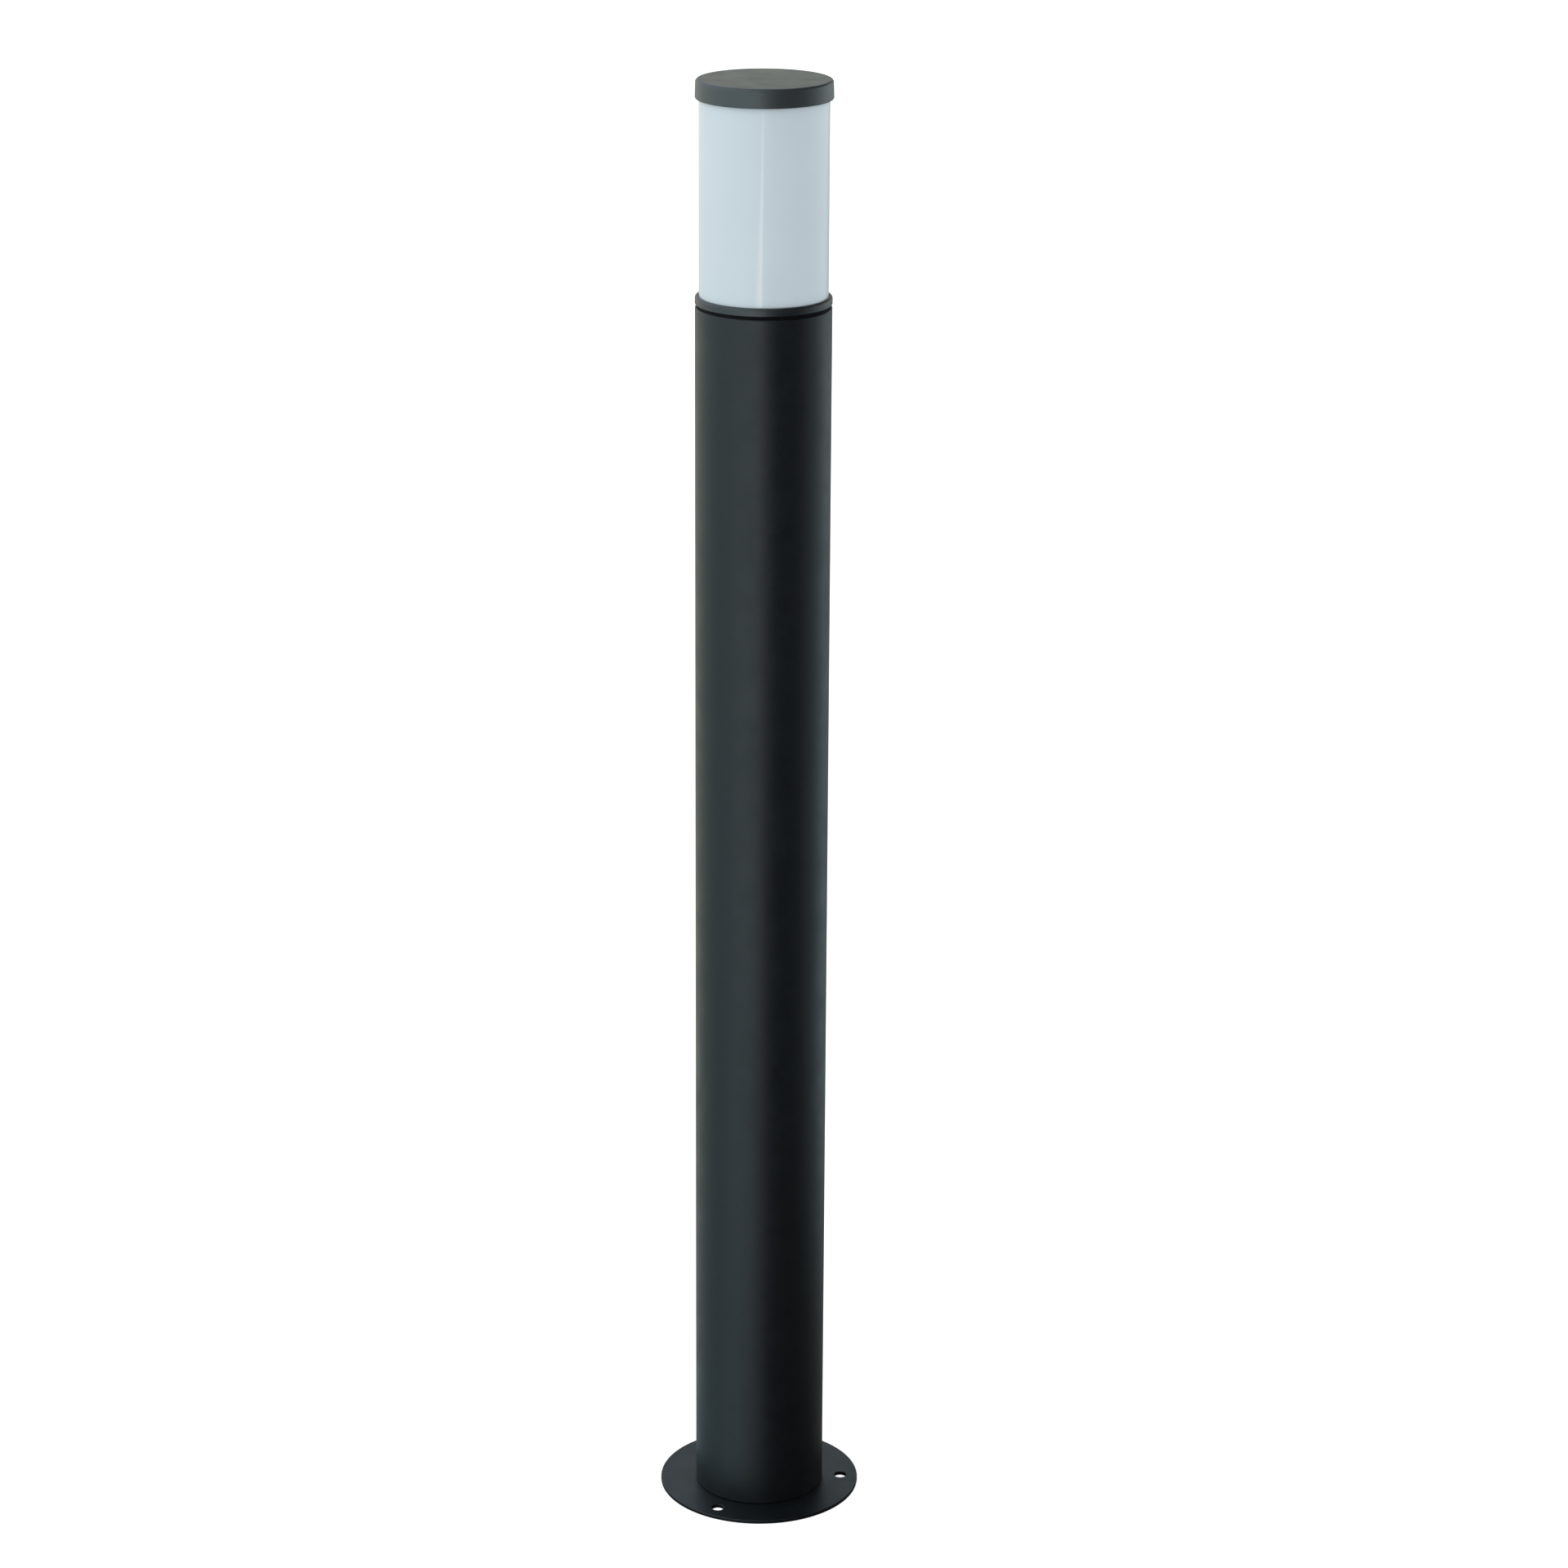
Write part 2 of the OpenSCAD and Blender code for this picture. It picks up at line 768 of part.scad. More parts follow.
// Moulded lamp holder: terminal room below a partition, screw shell's room above it
module lamp_holder() {
    r = holder_d / 2;
    e = holder_lip;
    color("#e9e7e1")
        translate([0, 0, z_bridge_top])
            difference() {
                rotate_extrude()
                    polygon(concat(
                        [[0, 0], [holder_neck_r, 0], [holder_neck_r, holder_shoulder - 5], [r, holder_shoulder]],
                        arc([r - e, holder_h - e], e, 0, 90), [[0, holder_h]]));
                translate([0, 0, -eps])
                    cylinder(d = nipple_d + 2 * fit, h = holder_floor + 2 * eps);
                translate([0, 0, holder_floor])
                    cylinder(r = terminal_room_r, h = terminal_room_h);
                translate([0, 0, holder_floor + terminal_room_h + partition_t])
                    cylinder(r = shell_r + fit, h = holder_h);
                cylinder(d = rivet_d + 2 * fit, h = holder_h);
                translate([0, shell_rivet_y, holder_floor])
                    cylinder(d = rivet_d + 2 * fit, h = holder_h);
            }
}

// Brass screw shell with a rivet down to the neutral lead
module thread_shell() {
    color("#c8a24a")
        union() {
            translate([0, 0, z_partition_top])
                difference() {
                    cylinder(r = shell_r, h = shell_h);
                    translate([0, 0, shell_t])
                        cylinder(r = shell_r - shell_t, h = shell_h);
                    translate([0, 0, -eps])
                        cylinder(r = contact_r + 2, h = shell_h);
                }
            translate([0, shell_rivet_y, z_partition_low])
                cylinder(d = rivet_d, h = partition_t + shell_t);
        }
}

// Brass centre contact with a rivet down to the live lead
module centre_contact() {
    color("#c8a24a") {
        union() {
            translate([0, 0, z_partition_top])
                cylinder(r = contact_r, h = contact_t);
            translate([0, 0, z_partition_low])
                cylinder(d = rivet_d, h = partition_t + eps);
        }
    }
}

// Three insulated leads from the terminals
module lead_live() {
    color("#7a4a2a") lead(live_route);
}

module lead_neutral() {
    color("#3b6fb5") lead(neutral_route);
}

module lead_earth() {
    color("#7fae3c") lead(earth_route);
}

// Opal bulb with its screw cap, as one solid of revolution
module led_bulb() {
    r = bulb_d / 2;
    z_mid = bulb_l - r;
    // The dome starts at 35 degrees below its widest place and ends in a small flat
    dome_start_angle = -35;
    dome_end_angle = 88;
    color("#f4f2ea")
        translate([0, 0, z_contact])
            rotate_extrude()
                polygon(concat(
                    [[0, 0], [bulb_tip_r, 0], [bulb_tip_r, bulb_tip_h - 1], [bulb_cap_r - 2, bulb_tip_h + 1],
                        [bulb_cap_r, bulb_tip_h + 3], [bulb_cap_r, bulb_cap_h], [bulb_neck_r, bulb_cap_h + 1],
                        [bulb_neck_r, bulb_neck_z]],
                    arc([0, z_mid], r, dome_start_angle, dome_end_angle, 20),
                    [[0, z_mid + r * sin(dome_end_angle)]]));
}

// Black gasket on the post's top, which shows as a dark groove
module ring_gasket() {
    color("#0d0d0d")
        ring(spigot_r + fit, post_r - gasket_recess, z_post_top, gasket_t);
}

// Cast ring: rim and seat for the diffuser, spigot for the post, lugs for the rods
module head_ring() {
    e = ring_edge;
    color("#3b4144")
        difference() {
            union() {
                rotate_extrude()
                    polygon(concat(
                        [[spigot_ir, z_spigot_low], [spigot_r, z_spigot_low], [spigot_r, z_ring_low],
                            [ring_r, z_ring_low]],
                        arc([ring_r - e, z_ring_top - e], e, 0, 90),
                        [[seat_r, z_ring_top], [seat_r, z_seat], [spigot_ir, z_seat]]));
                round_axis(rod_count, rod_r)
                    translate([0, 0, z_lug_low]) {
                        cylinder(d = lug_d, h = lug_t);
                        translate([0, -lug_d / 2, 0])
                            cube([spigot_ir + 1 - rod_r, lug_d, lug_t]);
                    }
                rotate(lock_turn)
                    translate([lock_boss_r, -lock_boss / 2, z_lock - lock_boss / 2])
                        cube([spigot_ir + 1 - lock_boss_r, lock_boss, lock_boss]);
            }
            round_axis(rod_count, rod_r)
                translate([0, 0, z_lug_low - eps])
                    cylinder(d = rod_d + 2 * fit, h = lug_t + 2 * eps);
            rotate(lock_turn)
                translate([lock_boss_r - eps, 0, z_lock])
                    rotate([0, 90, 0])
                        cylinder(d = lock_d + fit, h = post_r);
        }
}

// Socket set screw at the back, which locks the ring in the post
module lock_screw() {
    color("#8e9294")
        rotate(lock_turn)
            translate([post_r - lock_sunk - lock_l, 0, z_lock])
                rotate([0, 90, 0])
                    difference() {
                        cylinder(d = lock_d, h = lock_l);
                        translate([0, 0, lock_l - socket_depth])
                            cylinder(d = lock_d * socket_share, h = socket_depth + eps, $fn = 6);
                    }
}

// Flat seal under the diffuser
module diffuser_seal() {
    color("#1c1c1c")
        ring(diffuser_ir, diffuser_r, z_seat, seal_t);
}

// Opal tube
module diffuser() {
    color("#dfe8ec")
        ring(diffuser_ir, diffuser_r, z_seat + seal_t, z_cap_under - z_seat - 2 * seal_t);
}

// Flat seal on top of the diffuser
module cap_seal() {
    color("#1c1c1c")
        ring(diffuser_ir, diffuser_r, z_cap_under - seal_t, seal_t);
}

// Cast cap with a rim round the diffuser and a threaded boss for each rod
module cap() {
    e = cap_edge;
    lip = cap_lip;
    color("#45494a")
        difference() {
            union() {
                rotate_extrude()
                    polygon(concat(
                        [[0, z_cap_under], [seat_r, z_cap_under], [seat_r, z_cap_low]],
                        arc([cap_r - lip, z_cap_low + lip], lip, -90, 0),
                        arc([cap_r - cap_draft - e, light_h - e], e, 0, 90), [[0, light_h]]));
                round_axis(rod_count, rod_r)
                    translate([0, 0, z_cap_under - cap_boss_l])
                        cylinder(d = boss_d, h = cap_boss_l + eps);
            }
            round_axis(rod_count, rod_r)
                translate([0, 0, z_cap_under - cap_boss_l - eps])
                    cylinder(d = rod_d + fit, h = cap_boss_l + cap_top_t - boss_roof + eps);
        }
}

// Threaded rods from the ring's lugs up into the cap
module tie_rods() {
    z_low = z_nut_low - rod_tail;
    color("#b9bcbe")
        round_axis(rod_count, rod_r)
            translate([0, 0, z_low])
                cylinder(d = rod_d, h = z_rod_top - z_low);
}

// Washers under the lugs
module tie_washers() {
    color("#b9bcbe")
        round_axis(rod_count, rod_r)
            ring(rod_d / 2 + fit, rod_washer_d / 2, z_washer_low, rod_washer_t);
}

// Nuts under the washers
module tie_nuts() {
    color("#b9bcbe")
        round_axis(rod_count, rod_r)
            hex_nut(rod_nut_af, rod_nut_t, rod_d + 2 * fit, z_nut_low);
}

base_flange();
cable_bush();
flange_screws();
post_tube();
gear_plate();
gear_screws();
gland_body();
gland_seal();
gland_nut();
gland_locknut();
terminal_block();
terminal_barrels();
terminal_screws();
block_screws();
earth_lug();
earth_screw();
holder_bracket();
bracket_screws();
holder_nipple();
nipple_nut();
lamp_holder();
thread_shell();
centre_contact();
lead_live();
lead_neutral();
lead_earth();
led_bulb();
ring_gasket();
head_ring();
lock_screw();
diffuser_seal();
diffuser();
cap_seal();
cap();
tie_rods();
tie_washers();
tie_nuts();
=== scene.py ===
"""Path light: the fine shapes, finishes and studio of a bollard lamp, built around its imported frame."""

from functools import cache
from math import asin, cos, degrees, radians, sin

import bpy
import numpy as np
from bpy.props import FloatProperty, FloatVectorProperty, IntProperty, PointerProperty
from mathutils import Matrix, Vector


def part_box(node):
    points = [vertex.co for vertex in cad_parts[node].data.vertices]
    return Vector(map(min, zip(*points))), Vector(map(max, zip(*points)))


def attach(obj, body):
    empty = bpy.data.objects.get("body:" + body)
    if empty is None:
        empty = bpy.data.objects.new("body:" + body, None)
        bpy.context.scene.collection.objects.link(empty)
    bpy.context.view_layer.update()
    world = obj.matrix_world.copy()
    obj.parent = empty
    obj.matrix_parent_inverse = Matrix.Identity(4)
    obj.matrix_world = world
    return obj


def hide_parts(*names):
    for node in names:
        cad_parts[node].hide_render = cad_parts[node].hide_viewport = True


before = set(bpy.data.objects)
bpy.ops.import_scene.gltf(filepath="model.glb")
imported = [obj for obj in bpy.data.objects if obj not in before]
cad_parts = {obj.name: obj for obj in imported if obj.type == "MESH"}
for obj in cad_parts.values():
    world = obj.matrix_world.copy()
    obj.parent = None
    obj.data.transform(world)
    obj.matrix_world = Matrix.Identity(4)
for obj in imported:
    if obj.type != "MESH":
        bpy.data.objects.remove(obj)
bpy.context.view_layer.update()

bl_info = {
    "name": "Path Light",
    "version": (1, 0, 0),
    "blender": (4, 5, 0),
    "location": "3D View > Sidebar > Path Light",
    "description": "Builds the fine shapes, the finishes and the studio of a path light",
    "category": "Add Mesh",
}

MM = 0.001
BODY = "root"

# Facets round the post and head, the bulb and its shell, the paper, a hole or boss, and a thin rod
WIDE_FACETS = 256
BULB_FACETS = 96
PAPER_FACETS = 64
SMALL_FACETS = 48
ROD_FACETS = 24
# Rows of points up one pitch of a thread
THREAD_STEPS = 8
# How far a cutting shape runs past the face that it cuts
PAST = 1.0 * MM
# Edges that turn by more than this stay crisp
CRISP_TURN = radians(32)
# Nearly all values of a noise pattern lie between these
NOISE_LOW, NOISE_HIGH = 0.3, 0.7

# Screw ports in the post, and rods in the head
POST_PORTS = 3
HEAD_RODS = 3


# Values that a user would change


def linear(code):
    """Linear colour of an sRGB hex value."""
    levels = np.array([int(code[i : i + 2], 16) for i in (1, 3, 5)]) / 255
    return tuple(np.where(levels <= 0.04045, levels / 12.92, ((levels + 0.055) / 1.055) ** 2.4))


def length(name, description, millimetres):
    """Length property with its default in millimetres."""
    return FloatProperty(
        name=name, description=description, default=millimetres * MM, min=0.0, precision=4, unit="LENGTH"
    )


def angle(name, description, turn):
    """Angle property with its default in degrees."""
    return FloatProperty(name=name, description=description, default=radians(turn), subtype="ANGLE")


def share(name, description, default):
    """Property for a share or a strength."""
    return FloatProperty(name=name, description=description, default=default, min=0.0, subtype="FACTOR")


def colour(name, description, code):
    """Colour property with its default as an sRGB hex value."""
    return FloatVectorProperty(
        name=name, description=description, default=linear(code), min=0.0, max=1.0, subtype="COLOR"
    )


class FlangeSizes(bpy.types.PropertyGroup):
    """Sizes of the base flange."""

    edge: length("Edge", "Rounding of the flange's edge", 0.5)
    ease: length("Ease", "Rounding that the coat leaves on a hole's rim", 0.25)
    anchor_inset: length("Anchor inset", "Distance from the edge to the middle of an anchor hole", 12)
    anchor_hole: length("Anchor hole", "Diameter of an anchor hole", 8.5)
    anchor_count: IntProperty(name="Anchor holes", description="Number of anchor holes", default=3)
    cable_hole: length("Cable hole", "Diameter of the cable hole", 26)
    screw_hole: length("Screw hole", "Diameter of a post screw's hole", 4.4)
    screw_head: length("Screw head", "Diameter of the room for a post screw's head", 8.2)
    head_recess: length("Head recess", "Depth at which the countersink starts", 0.2)


class PostSizes(bpy.types.PropertyGroup):
    """Sizes of the post."""

    wall: length("Wall", "Wall of the post", 2.5)
    chamfer: length("Chamfer", "Chamfer on both ends", 0.6)
    port: length("Port", "Outside diameter of a screw port", 10)
    port_bore: length("Port bore", "Bore of a screw port", 4.3)
    port_slot: length("Port slot", "Width of a port's open side", 2)
    port_radius: length("Port radius", "Distance from the axis to a port", 38.2)
    port_turn: angle("Port turn", "Direction of the first port", 60)
    lock_hole: length("Lock hole", "Diameter of the lock screw's hole", 4.8)


class HeadSizes(bpy.types.PropertyGroup):
    """Sizes of the ring, the opal tube and the cap."""

    rim_edge: length("Rim edge", "Rounding of the ring's top edge", 1.8)
    spigot_radius: length("Spigot radius", "Outside radius of the ring's spigot", 42.2)
    spigot_wall: length("Spigot wall", "Wall of the spigot", 2.2)
    gasket_fit: length("Gasket fit", "Room between the spigot and the gasket", 0.1)
    seat_floor: length("Seat floor", "Floor under the diffuser's seat", 1)
    seat_radius: length("Seat radius", "Radius of the diffuser's seat", 42.75)
    lug: length("Lug", "Width of the lug under a tie rod", 9)
    lug_height: length("Lug height", "Height of a lug", 6)
    lug_radius: length("Lug radius", "Distance from the axis to a tie rod", 35)
    rod_hole: length("Rod hole", "Diameter of the hole in a lug", 4.2)
    lock_boss: length("Lock boss", "Width and height of the lock screw's boss", 9)
    lock_boss_radius: length("Lock boss radius", "Distance from the axis to the boss's face", 36.1)
    lock_bore: length("Lock bore", "Diameter of the lock screw's thread", 4.1)
    tube_wall: length("Tube wall", "Wall of the opal tube", 3)
    tube_edge: length("Tube edge", "Polished edge of the opal tube", 0.2)
    cap_edge: length("Cap edge", "Rounding of the cap's top edge", 2)
    cap_draft: length("Cap draft", "How far the cap's side leans in towards its top", 0.3)
    cap_lip: length("Cap lip", "Rounding of the cap's lower edge", 1)
    cap_boss: length("Cap boss", "Diameter of a threaded boss", 8)
    cap_boss_height: length("Cap boss height", "Height of a threaded boss", 8)
    cap_bore: length("Cap bore", "Diameter of the thread in a boss", 4.1)
    cap_roof: length("Cap roof", "Metal left above a threaded hole", 2)


class RodSizes(bpy.types.PropertyGroup):
    """Sizes of the rods that draw the cap down on the ring."""

    diameter: length("Diameter", "Diameter of a rod", 4)
    pitch: length("Pitch", "Pitch of the rods' thread", 0.7)
    depth: length("Thread depth", "Depth of the rods' thread", 0.4)
    lower_thread: length("Lower thread", "Length of the thread that carries the nut", 16)
    upper_thread: length("Upper thread", "Length of the thread in the cap", 14)


class ScrewShellSizes(bpy.types.PropertyGroup):
    """Sizes of the lamp holder's brass screw shell."""

    wall: length("Wall", "Thickness of the shell's sheet", 0.6)
    height: length("Height", "Height of the shell", 25)
    opening: length("Opening", "Radius of the hole in the shell's floor", 6)
    pitch: length("Pitch", "Pitch of an E27 thread", 3.63)
    depth: length("Thread depth", "Depth of the shell's rolled thread", 0.65)
    rivet: length("Rivet", "Diameter of the rivet down to the neutral lead", 2.4)
    rivet_offset: length("Rivet offset", "Distance from the axis to the rivet, towards the front", 9)


class BulbSizes(bpy.types.PropertyGroup):
    """Sizes of the bulb."""

    overall: length("Overall length", "Length from the contact to the top of the dome", 108)
    tip: length("Tip", "Radius of the centre contact", 4.5)
    tip_height: length("Tip height", "Height of the centre contact", 2)
    glass_height: length("Glass height", "Height of the black glass over the contact", 2)
    glass: length("Glass", "Top radius of the black glass", 11.2)
    cap: length("Cap", "Radius of the screw cap", 13.2)
    cap_shoulder: length("Cap shoulder", "Height of the screw cap's cone", 2)
    thread_depth: length("Thread depth", "Depth of the cap's rolled thread", 1.0)
    thread_length: length("Thread length", "Length of the cap's thread", 16)
    rim_gap: length("Rim gap", "Gap between the lamp holder's rim and the bulb's neck", 0.3)
    neck: length("Neck", "Radius of the neck", 15.5)
    neck_height: length("Neck height", "Height at which the neck starts to widen", 30)
    dome_start: angle("Dome start", "Angle below the dome's widest place at which the dome starts", -35)


class FinishValues(bpy.types.PropertyGroup):
    """Colours and grains of the finishes."""

    post_coat: colour("Post coat", "Textured powder coat on the post and flange", "#0c1013")
    ring_coat: colour("Ring coat", "Fine powder coat on the ring", "#101518")
    cap_coat: colour("Cap coat", "Fine powder coat on the cap", "#2b3134")
    coat_grain: length("Coat grain", "Spacing of the grains of the textured coat", 0.9)
    fine_grain: length("Fine grain", "Spacing of the ripple in the fine coat", 1.4)
    opal: colour("Opal", "Milky acrylic of the diffuser", "#d5e4ec")
    rubber: colour("Rubber", "Gasket, seals and bush", "#050506")
    zinc: colour("Zinc", "Zinc plate on the screws, rods and sheet metal", "#b6bbbf")
    brass: colour("Brass", "Terminals, nipple and contacts", "#c8a45c")
    nickel: colour("Nickel", "Plate on the bulb's screw cap", "#c9c5bb")
    vitrite: colour("Vitrite", "Black glass round the bulb's contact", "#0c0c10")
    dark_nylon: colour("Dark nylon", "Cable gland", "#4b4e50")
    pale_nylon: colour("Pale nylon", "Terminal block", "#dcd8cd")
    glaze: colour("Glaze", "Porcelain lamp holder", "#ebe8df")
    housing: colour("Housing", "Moulded neck of the bulb", "#f1efe9")
    dome: colour("Dome", "Opal dome of the bulb", "#f4f1e8")
    brown: colour("Brown", "Live lead", "#5d3820")
    blue: colour("Blue", "Neutral lead", "#2b62ad")
    green: colour("Green", "Earth lead", "#3f8f35")
    yellow: colour("Yellow", "Stripe of the earth lead", "#e3c63b")


class StudioValues(bpy.types.PropertyGroup):
    """Camera, lamp, paper and surroundings of the studio."""

    camera_distance: length("Camera distance", "Distance from the post's axis along the ground", 2738.4)
    camera_height: length("Camera height", "Height of the camera above the ground", 1427)
    camera_yaw: angle("Camera yaw", "How far the camera turns to the right", 0.315)
    camera_pitch: angle("Camera pitch", "How far the camera looks down", 18.272)
    camera_roll: angle("Camera roll", "How far the camera leans", 0.324)
    lens: FloatProperty(name="Lens", description="Focal length", default=97.72, unit="CAMERA")
    ambient: share("Ambient", "Light from all round", 0.75)
    lamp_turn: angle("Lamp turn", "Direction of the soft lamp, to the right of the front", -70)
    lamp_height: angle("Lamp height", "Angle of the soft lamp above the ground", 40)
    lamp_spread: angle("Lamp spread", "Angle that the soft lamp fills", 50)
    lamp_strength: share("Lamp strength", "Strength of the soft lamp", 0.7)
    paper_radius: length("Paper radius", "Radius of the paper under the light", 14000)
    paper_depth: length("Paper depth", "Depth of the board that carries the paper", 20)
    shade_start: length("Shade start", "Distance from the axis where the flange's shade starts to fade", 70)
    shade_end: length("Shade end", "Distance from the axis where the flange's shade ends", 90)
    foot_end: length("Foot end", "Distance from the axis where the shaded paper at the foot ends", 350)
    paper_start: length("Paper start", "Distance from the axis where the open paper starts", 900)
    paper_end: length("Paper end", "Distance from the axis where the open paper ends", 3500)
    backdrop_start: length("Backdrop start", "Distance from the axis where the backdrop starts", 6000)
    backdrop_top: angle("Backdrop top", "Angle up to the top of the backdrop", 12)
    ceiling_start: angle("Ceiling start", "Angle up to the ceiling", 25)
    streak_side: length("Streak side", "Distance of the streak's straight side to the left of the axis", 60)
    streak_width: length("Streak width", "Width of the streak of light on the paper at its near end", 1150)
    streak_near: length("Streak near", "Distance in front of the post at which the streak starts", 3800)
    streak_far: length("Streak far", "Distance in front of the post at which the streak ends", 6700)
    streak_gain: share("Streak gain", "How much brighter the streak is than the paper round it", 2.6)
    streak: colour("Streak", "Warm light of the streak", "#fff4e2")
    paper: colour("Paper", "Paper under the light", "#e8e8e8")
    lift: share("Lift", "Glow that makes the lit paper white for the camera", 0.6)


class PathLightValues(bpy.types.PropertyGroup):
    """All values of the path light."""

    flange: PointerProperty(type=FlangeSizes)
    post: PointerProperty(type=PostSizes)
    head: PointerProperty(type=HeadSizes)
    rods: PointerProperty(type=RodSizes)
    screw_shell: PointerProperty(type=ScrewShellSizes)
    bulb: PointerProperty(type=BulbSizes)
    finish: PointerProperty(type=FinishValues)
    studio: PointerProperty(type=StudioValues)


def values():
    """The scene's path light values."""
    return bpy.context.scene.path_light


def reach(node):
    """Outer radius, lowest point and highest point of a round CAD node."""
    low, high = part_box(node)
    return high.x, low.z, high.z


# Shapes: a shape is a pair, its points as an array and its faces as a list of arrays of point numbers


def arc(centre, radius, start, end, steps=8):
    """Points centre + radius * (cos a, sin a), with a running evenly from start to end in degrees."""
    a = np.radians(np.linspace(start, end, steps + 1))
    return np.array(centre) + radius * np.column_stack((np.cos(a), np.sin(a)))


def thread_wall(radius, pitch, low, high):
    """Points straight up at one radius, close enough together to show a thread of the given pitch."""
    heights = np.linspace(low, high, round((high - low) / pitch * THREAD_STEPS) + 1)
    return np.column_stack((np.full(len(heights), radius), heights))


def outline(*stretches):
    """One list of points from single points and arcs."""
    return np.vstack([np.atleast_2d(stretch) for stretch in stretches])


def turned(profile, facets=WIDE_FACETS):
    """Surface of revolution: point (r, h) of the profile goes round to (r cos a, r sin a, h).

    The profile runs anticlockwise. It either starts and ends on the axis, where its rows shrink to poles,
    or closes on itself.
    """
    a = np.linspace(0, 2 * np.pi, facets, endpoint=False)
    r, h = profile[:, :1], profile[:, 1:]
    points = np.stack((r * np.cos(a), r * np.sin(a), h + 0 * a), axis=-1).reshape(-1, 3)
    rows = len(profile)
    index = np.arange(rows * facets).reshape(rows, facets)
    on_axis = profile[0, 0] == 0
    if on_axis:
        index[0], index[-1] = index[0, 0], index[-1, 0]
    upper = index[1:] if on_axis else np.roll(index, -1, axis=0)
    lower = index[: len(upper)]
    quads = np.stack((lower, np.roll(lower, -1, 1), np.roll(upper, -1, 1), upper), axis=-1)
    if not on_axis:
        return points, [quads.reshape(-1, 4)]
    foot = quads[0][:, [0, 2, 3]]
    crown = quads[-1][:, [0, 1, 2]]
    return compact(points, [quads[1:-1].reshape(-1, 4), foot, crown])


def compact(points, faces):
    """The shape without points that no face uses."""
    used, order = np.unique(np.concatenate([block.ravel() for block in faces]), return_inverse=True)
    ends = np.cumsum([block.size for block in faces])[:-1]
    parts = np.split(order.ravel(), ends)
    return points[used], [part.reshape(block.shape) for part, block in zip(parts, faces)]


def prism(ring, low, high):
    """Upright prism: point (x, y) of an anticlockwise ring goes from (x, y, low) to (x, y, high)."""
    count = len(ring)
    points = np.vstack([np.column_stack((ring, np.full(count, z))) for z in (low, high)])
    k = np.arange(count)
    after = np.roll(k, -1)
    walls = np.column_stack((k, after, after + count, k + count))
    return points, [walls, k[None, ::-1], k[None, :] + count]


def rod(diameter, low, high):
    """Upright round bar on the axis."""
    return prism(arc((0, 0), diameter / 2, 0, 360, SMALL_FACETS)[:-1], low, high)


def threaded(shape, pitch, depth, low, high):
    """The shape with a rolled thread between two heights.

    A point at angle a and height h moves inwards by depth * (1 - cos(2 pi h / pitch - a)) / 2. The depth
    fades to nothing over the first and the last pitch.
    """
    points, faces = shape
    x, y, h = points.T
    wave = (1 - np.cos(2 * np.pi * (h - low) / pitch - np.arctan2(y, x))) / 2
    fade = np.clip(np.minimum(h - low, high - h) / pitch, 0, 1)
    shrink = 1 - depth * wave * fade / np.maximum(np.hypot(x, y), depth)
    return np.column_stack((x * shrink, y * shrink, h)), faces


def placed(shape, *moves):
    """The shape after the moves, the last one first."""
    points, faces = shape
    matrix = np.eye(4)
    for move in moves:
        matrix = matrix @ np.array(move)
    return points @ matrix[:3, :3].T + matrix[:3, 3], faces


def merged(*shapes):
    """Several shapes as one: the points are stacked, and face numbers move on by the points before."""
    starts = np.cumsum([0] + [len(points) for points, _ in shapes[:-1]])
    points = np.vstack([points for points, _ in shapes])
    return points, [block + start for (_, faces), start in zip(shapes, starts) for block in faces]


def turn_about(axis, turn):
    """Rotation about an axis by a turn in radians."""
    return Matrix.Rotation(turn, 4, axis)


def round_axis(shape, count, radius, first=0.0):
    """Copies of a shape, moved out to the radius and spaced evenly round the axis."""
    out = Matrix.Translation((radius, 0, 0))
    turns = first + 2 * np.pi * np.arange(count) / count
    return merged(*[placed(shape, turn_about("Z", turn), out) for turn in turns])


# Pieces


def add_object(name, shape):
    """Puts a shape into the scene as an object at the origin."""
    points, faces = shape
    mesh = bpy.data.meshes.new(name)
    mesh.from_pydata(points, [], [face for block in faces for face in block.tolist()])
    made = bpy.data.objects.new(name, mesh)
    bpy.context.scene.collection.objects.link(made)
    return made


def carve(piece, operation, shape):
    """Joins a shape to the piece (UNION) or takes it away (DIFFERENCE)."""
    tool = add_object("tool", shape)
    step = piece.modifiers.new("carve", "BOOLEAN")
    step.operation = operation
    step.solver = "EXACT"
    step.object = tool
    graph = bpy.context.evaluated_depsgraph_get()
    result = bpy.data.meshes.new_from_object(piece.evaluated_get(graph))
    piece.modifiers.clear()
    spent = (piece.data, tool.data)
    piece.data = result
    bpy.data.objects.remove(tool)
    for mesh in spent:
        bpy.data.meshes.remove(mesh)


def finish_piece(piece, material, node):
    """Gives the piece its shading, its finish and its place in the frame, in place of the CAD node."""
    piece.data.shade_smooth()
    piece.data.set_sharp_from_angle(angle=CRISP_TURN)
    shading = piece.modifiers.new("Flat faces stay flat", "WEIGHTED_NORMAL")
    shading.keep_sharp = True
    piece.data.materials.clear()
    piece.data.materials.append(material)
    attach(piece, BODY)
    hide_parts(node)


def dress(material, *nodes):
    """Gives CAD nodes that keep their shape a finish."""
    for node in nodes:
        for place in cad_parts[node].material_slots:
            place.material = material


def eased_hole(diameter, low, high, ease):
    """What a hole through a plate takes away, with its upper rim eased at 45 degrees."""
    r = diameter / 2
    profile = outline(
        (0, low - PAST),
        (r, low - PAST),
        (r, high - ease),
        (r + ease + PAST, high + PAST),
        (0, high + PAST),
    )
    return turned(profile, SMALL_FACETS)


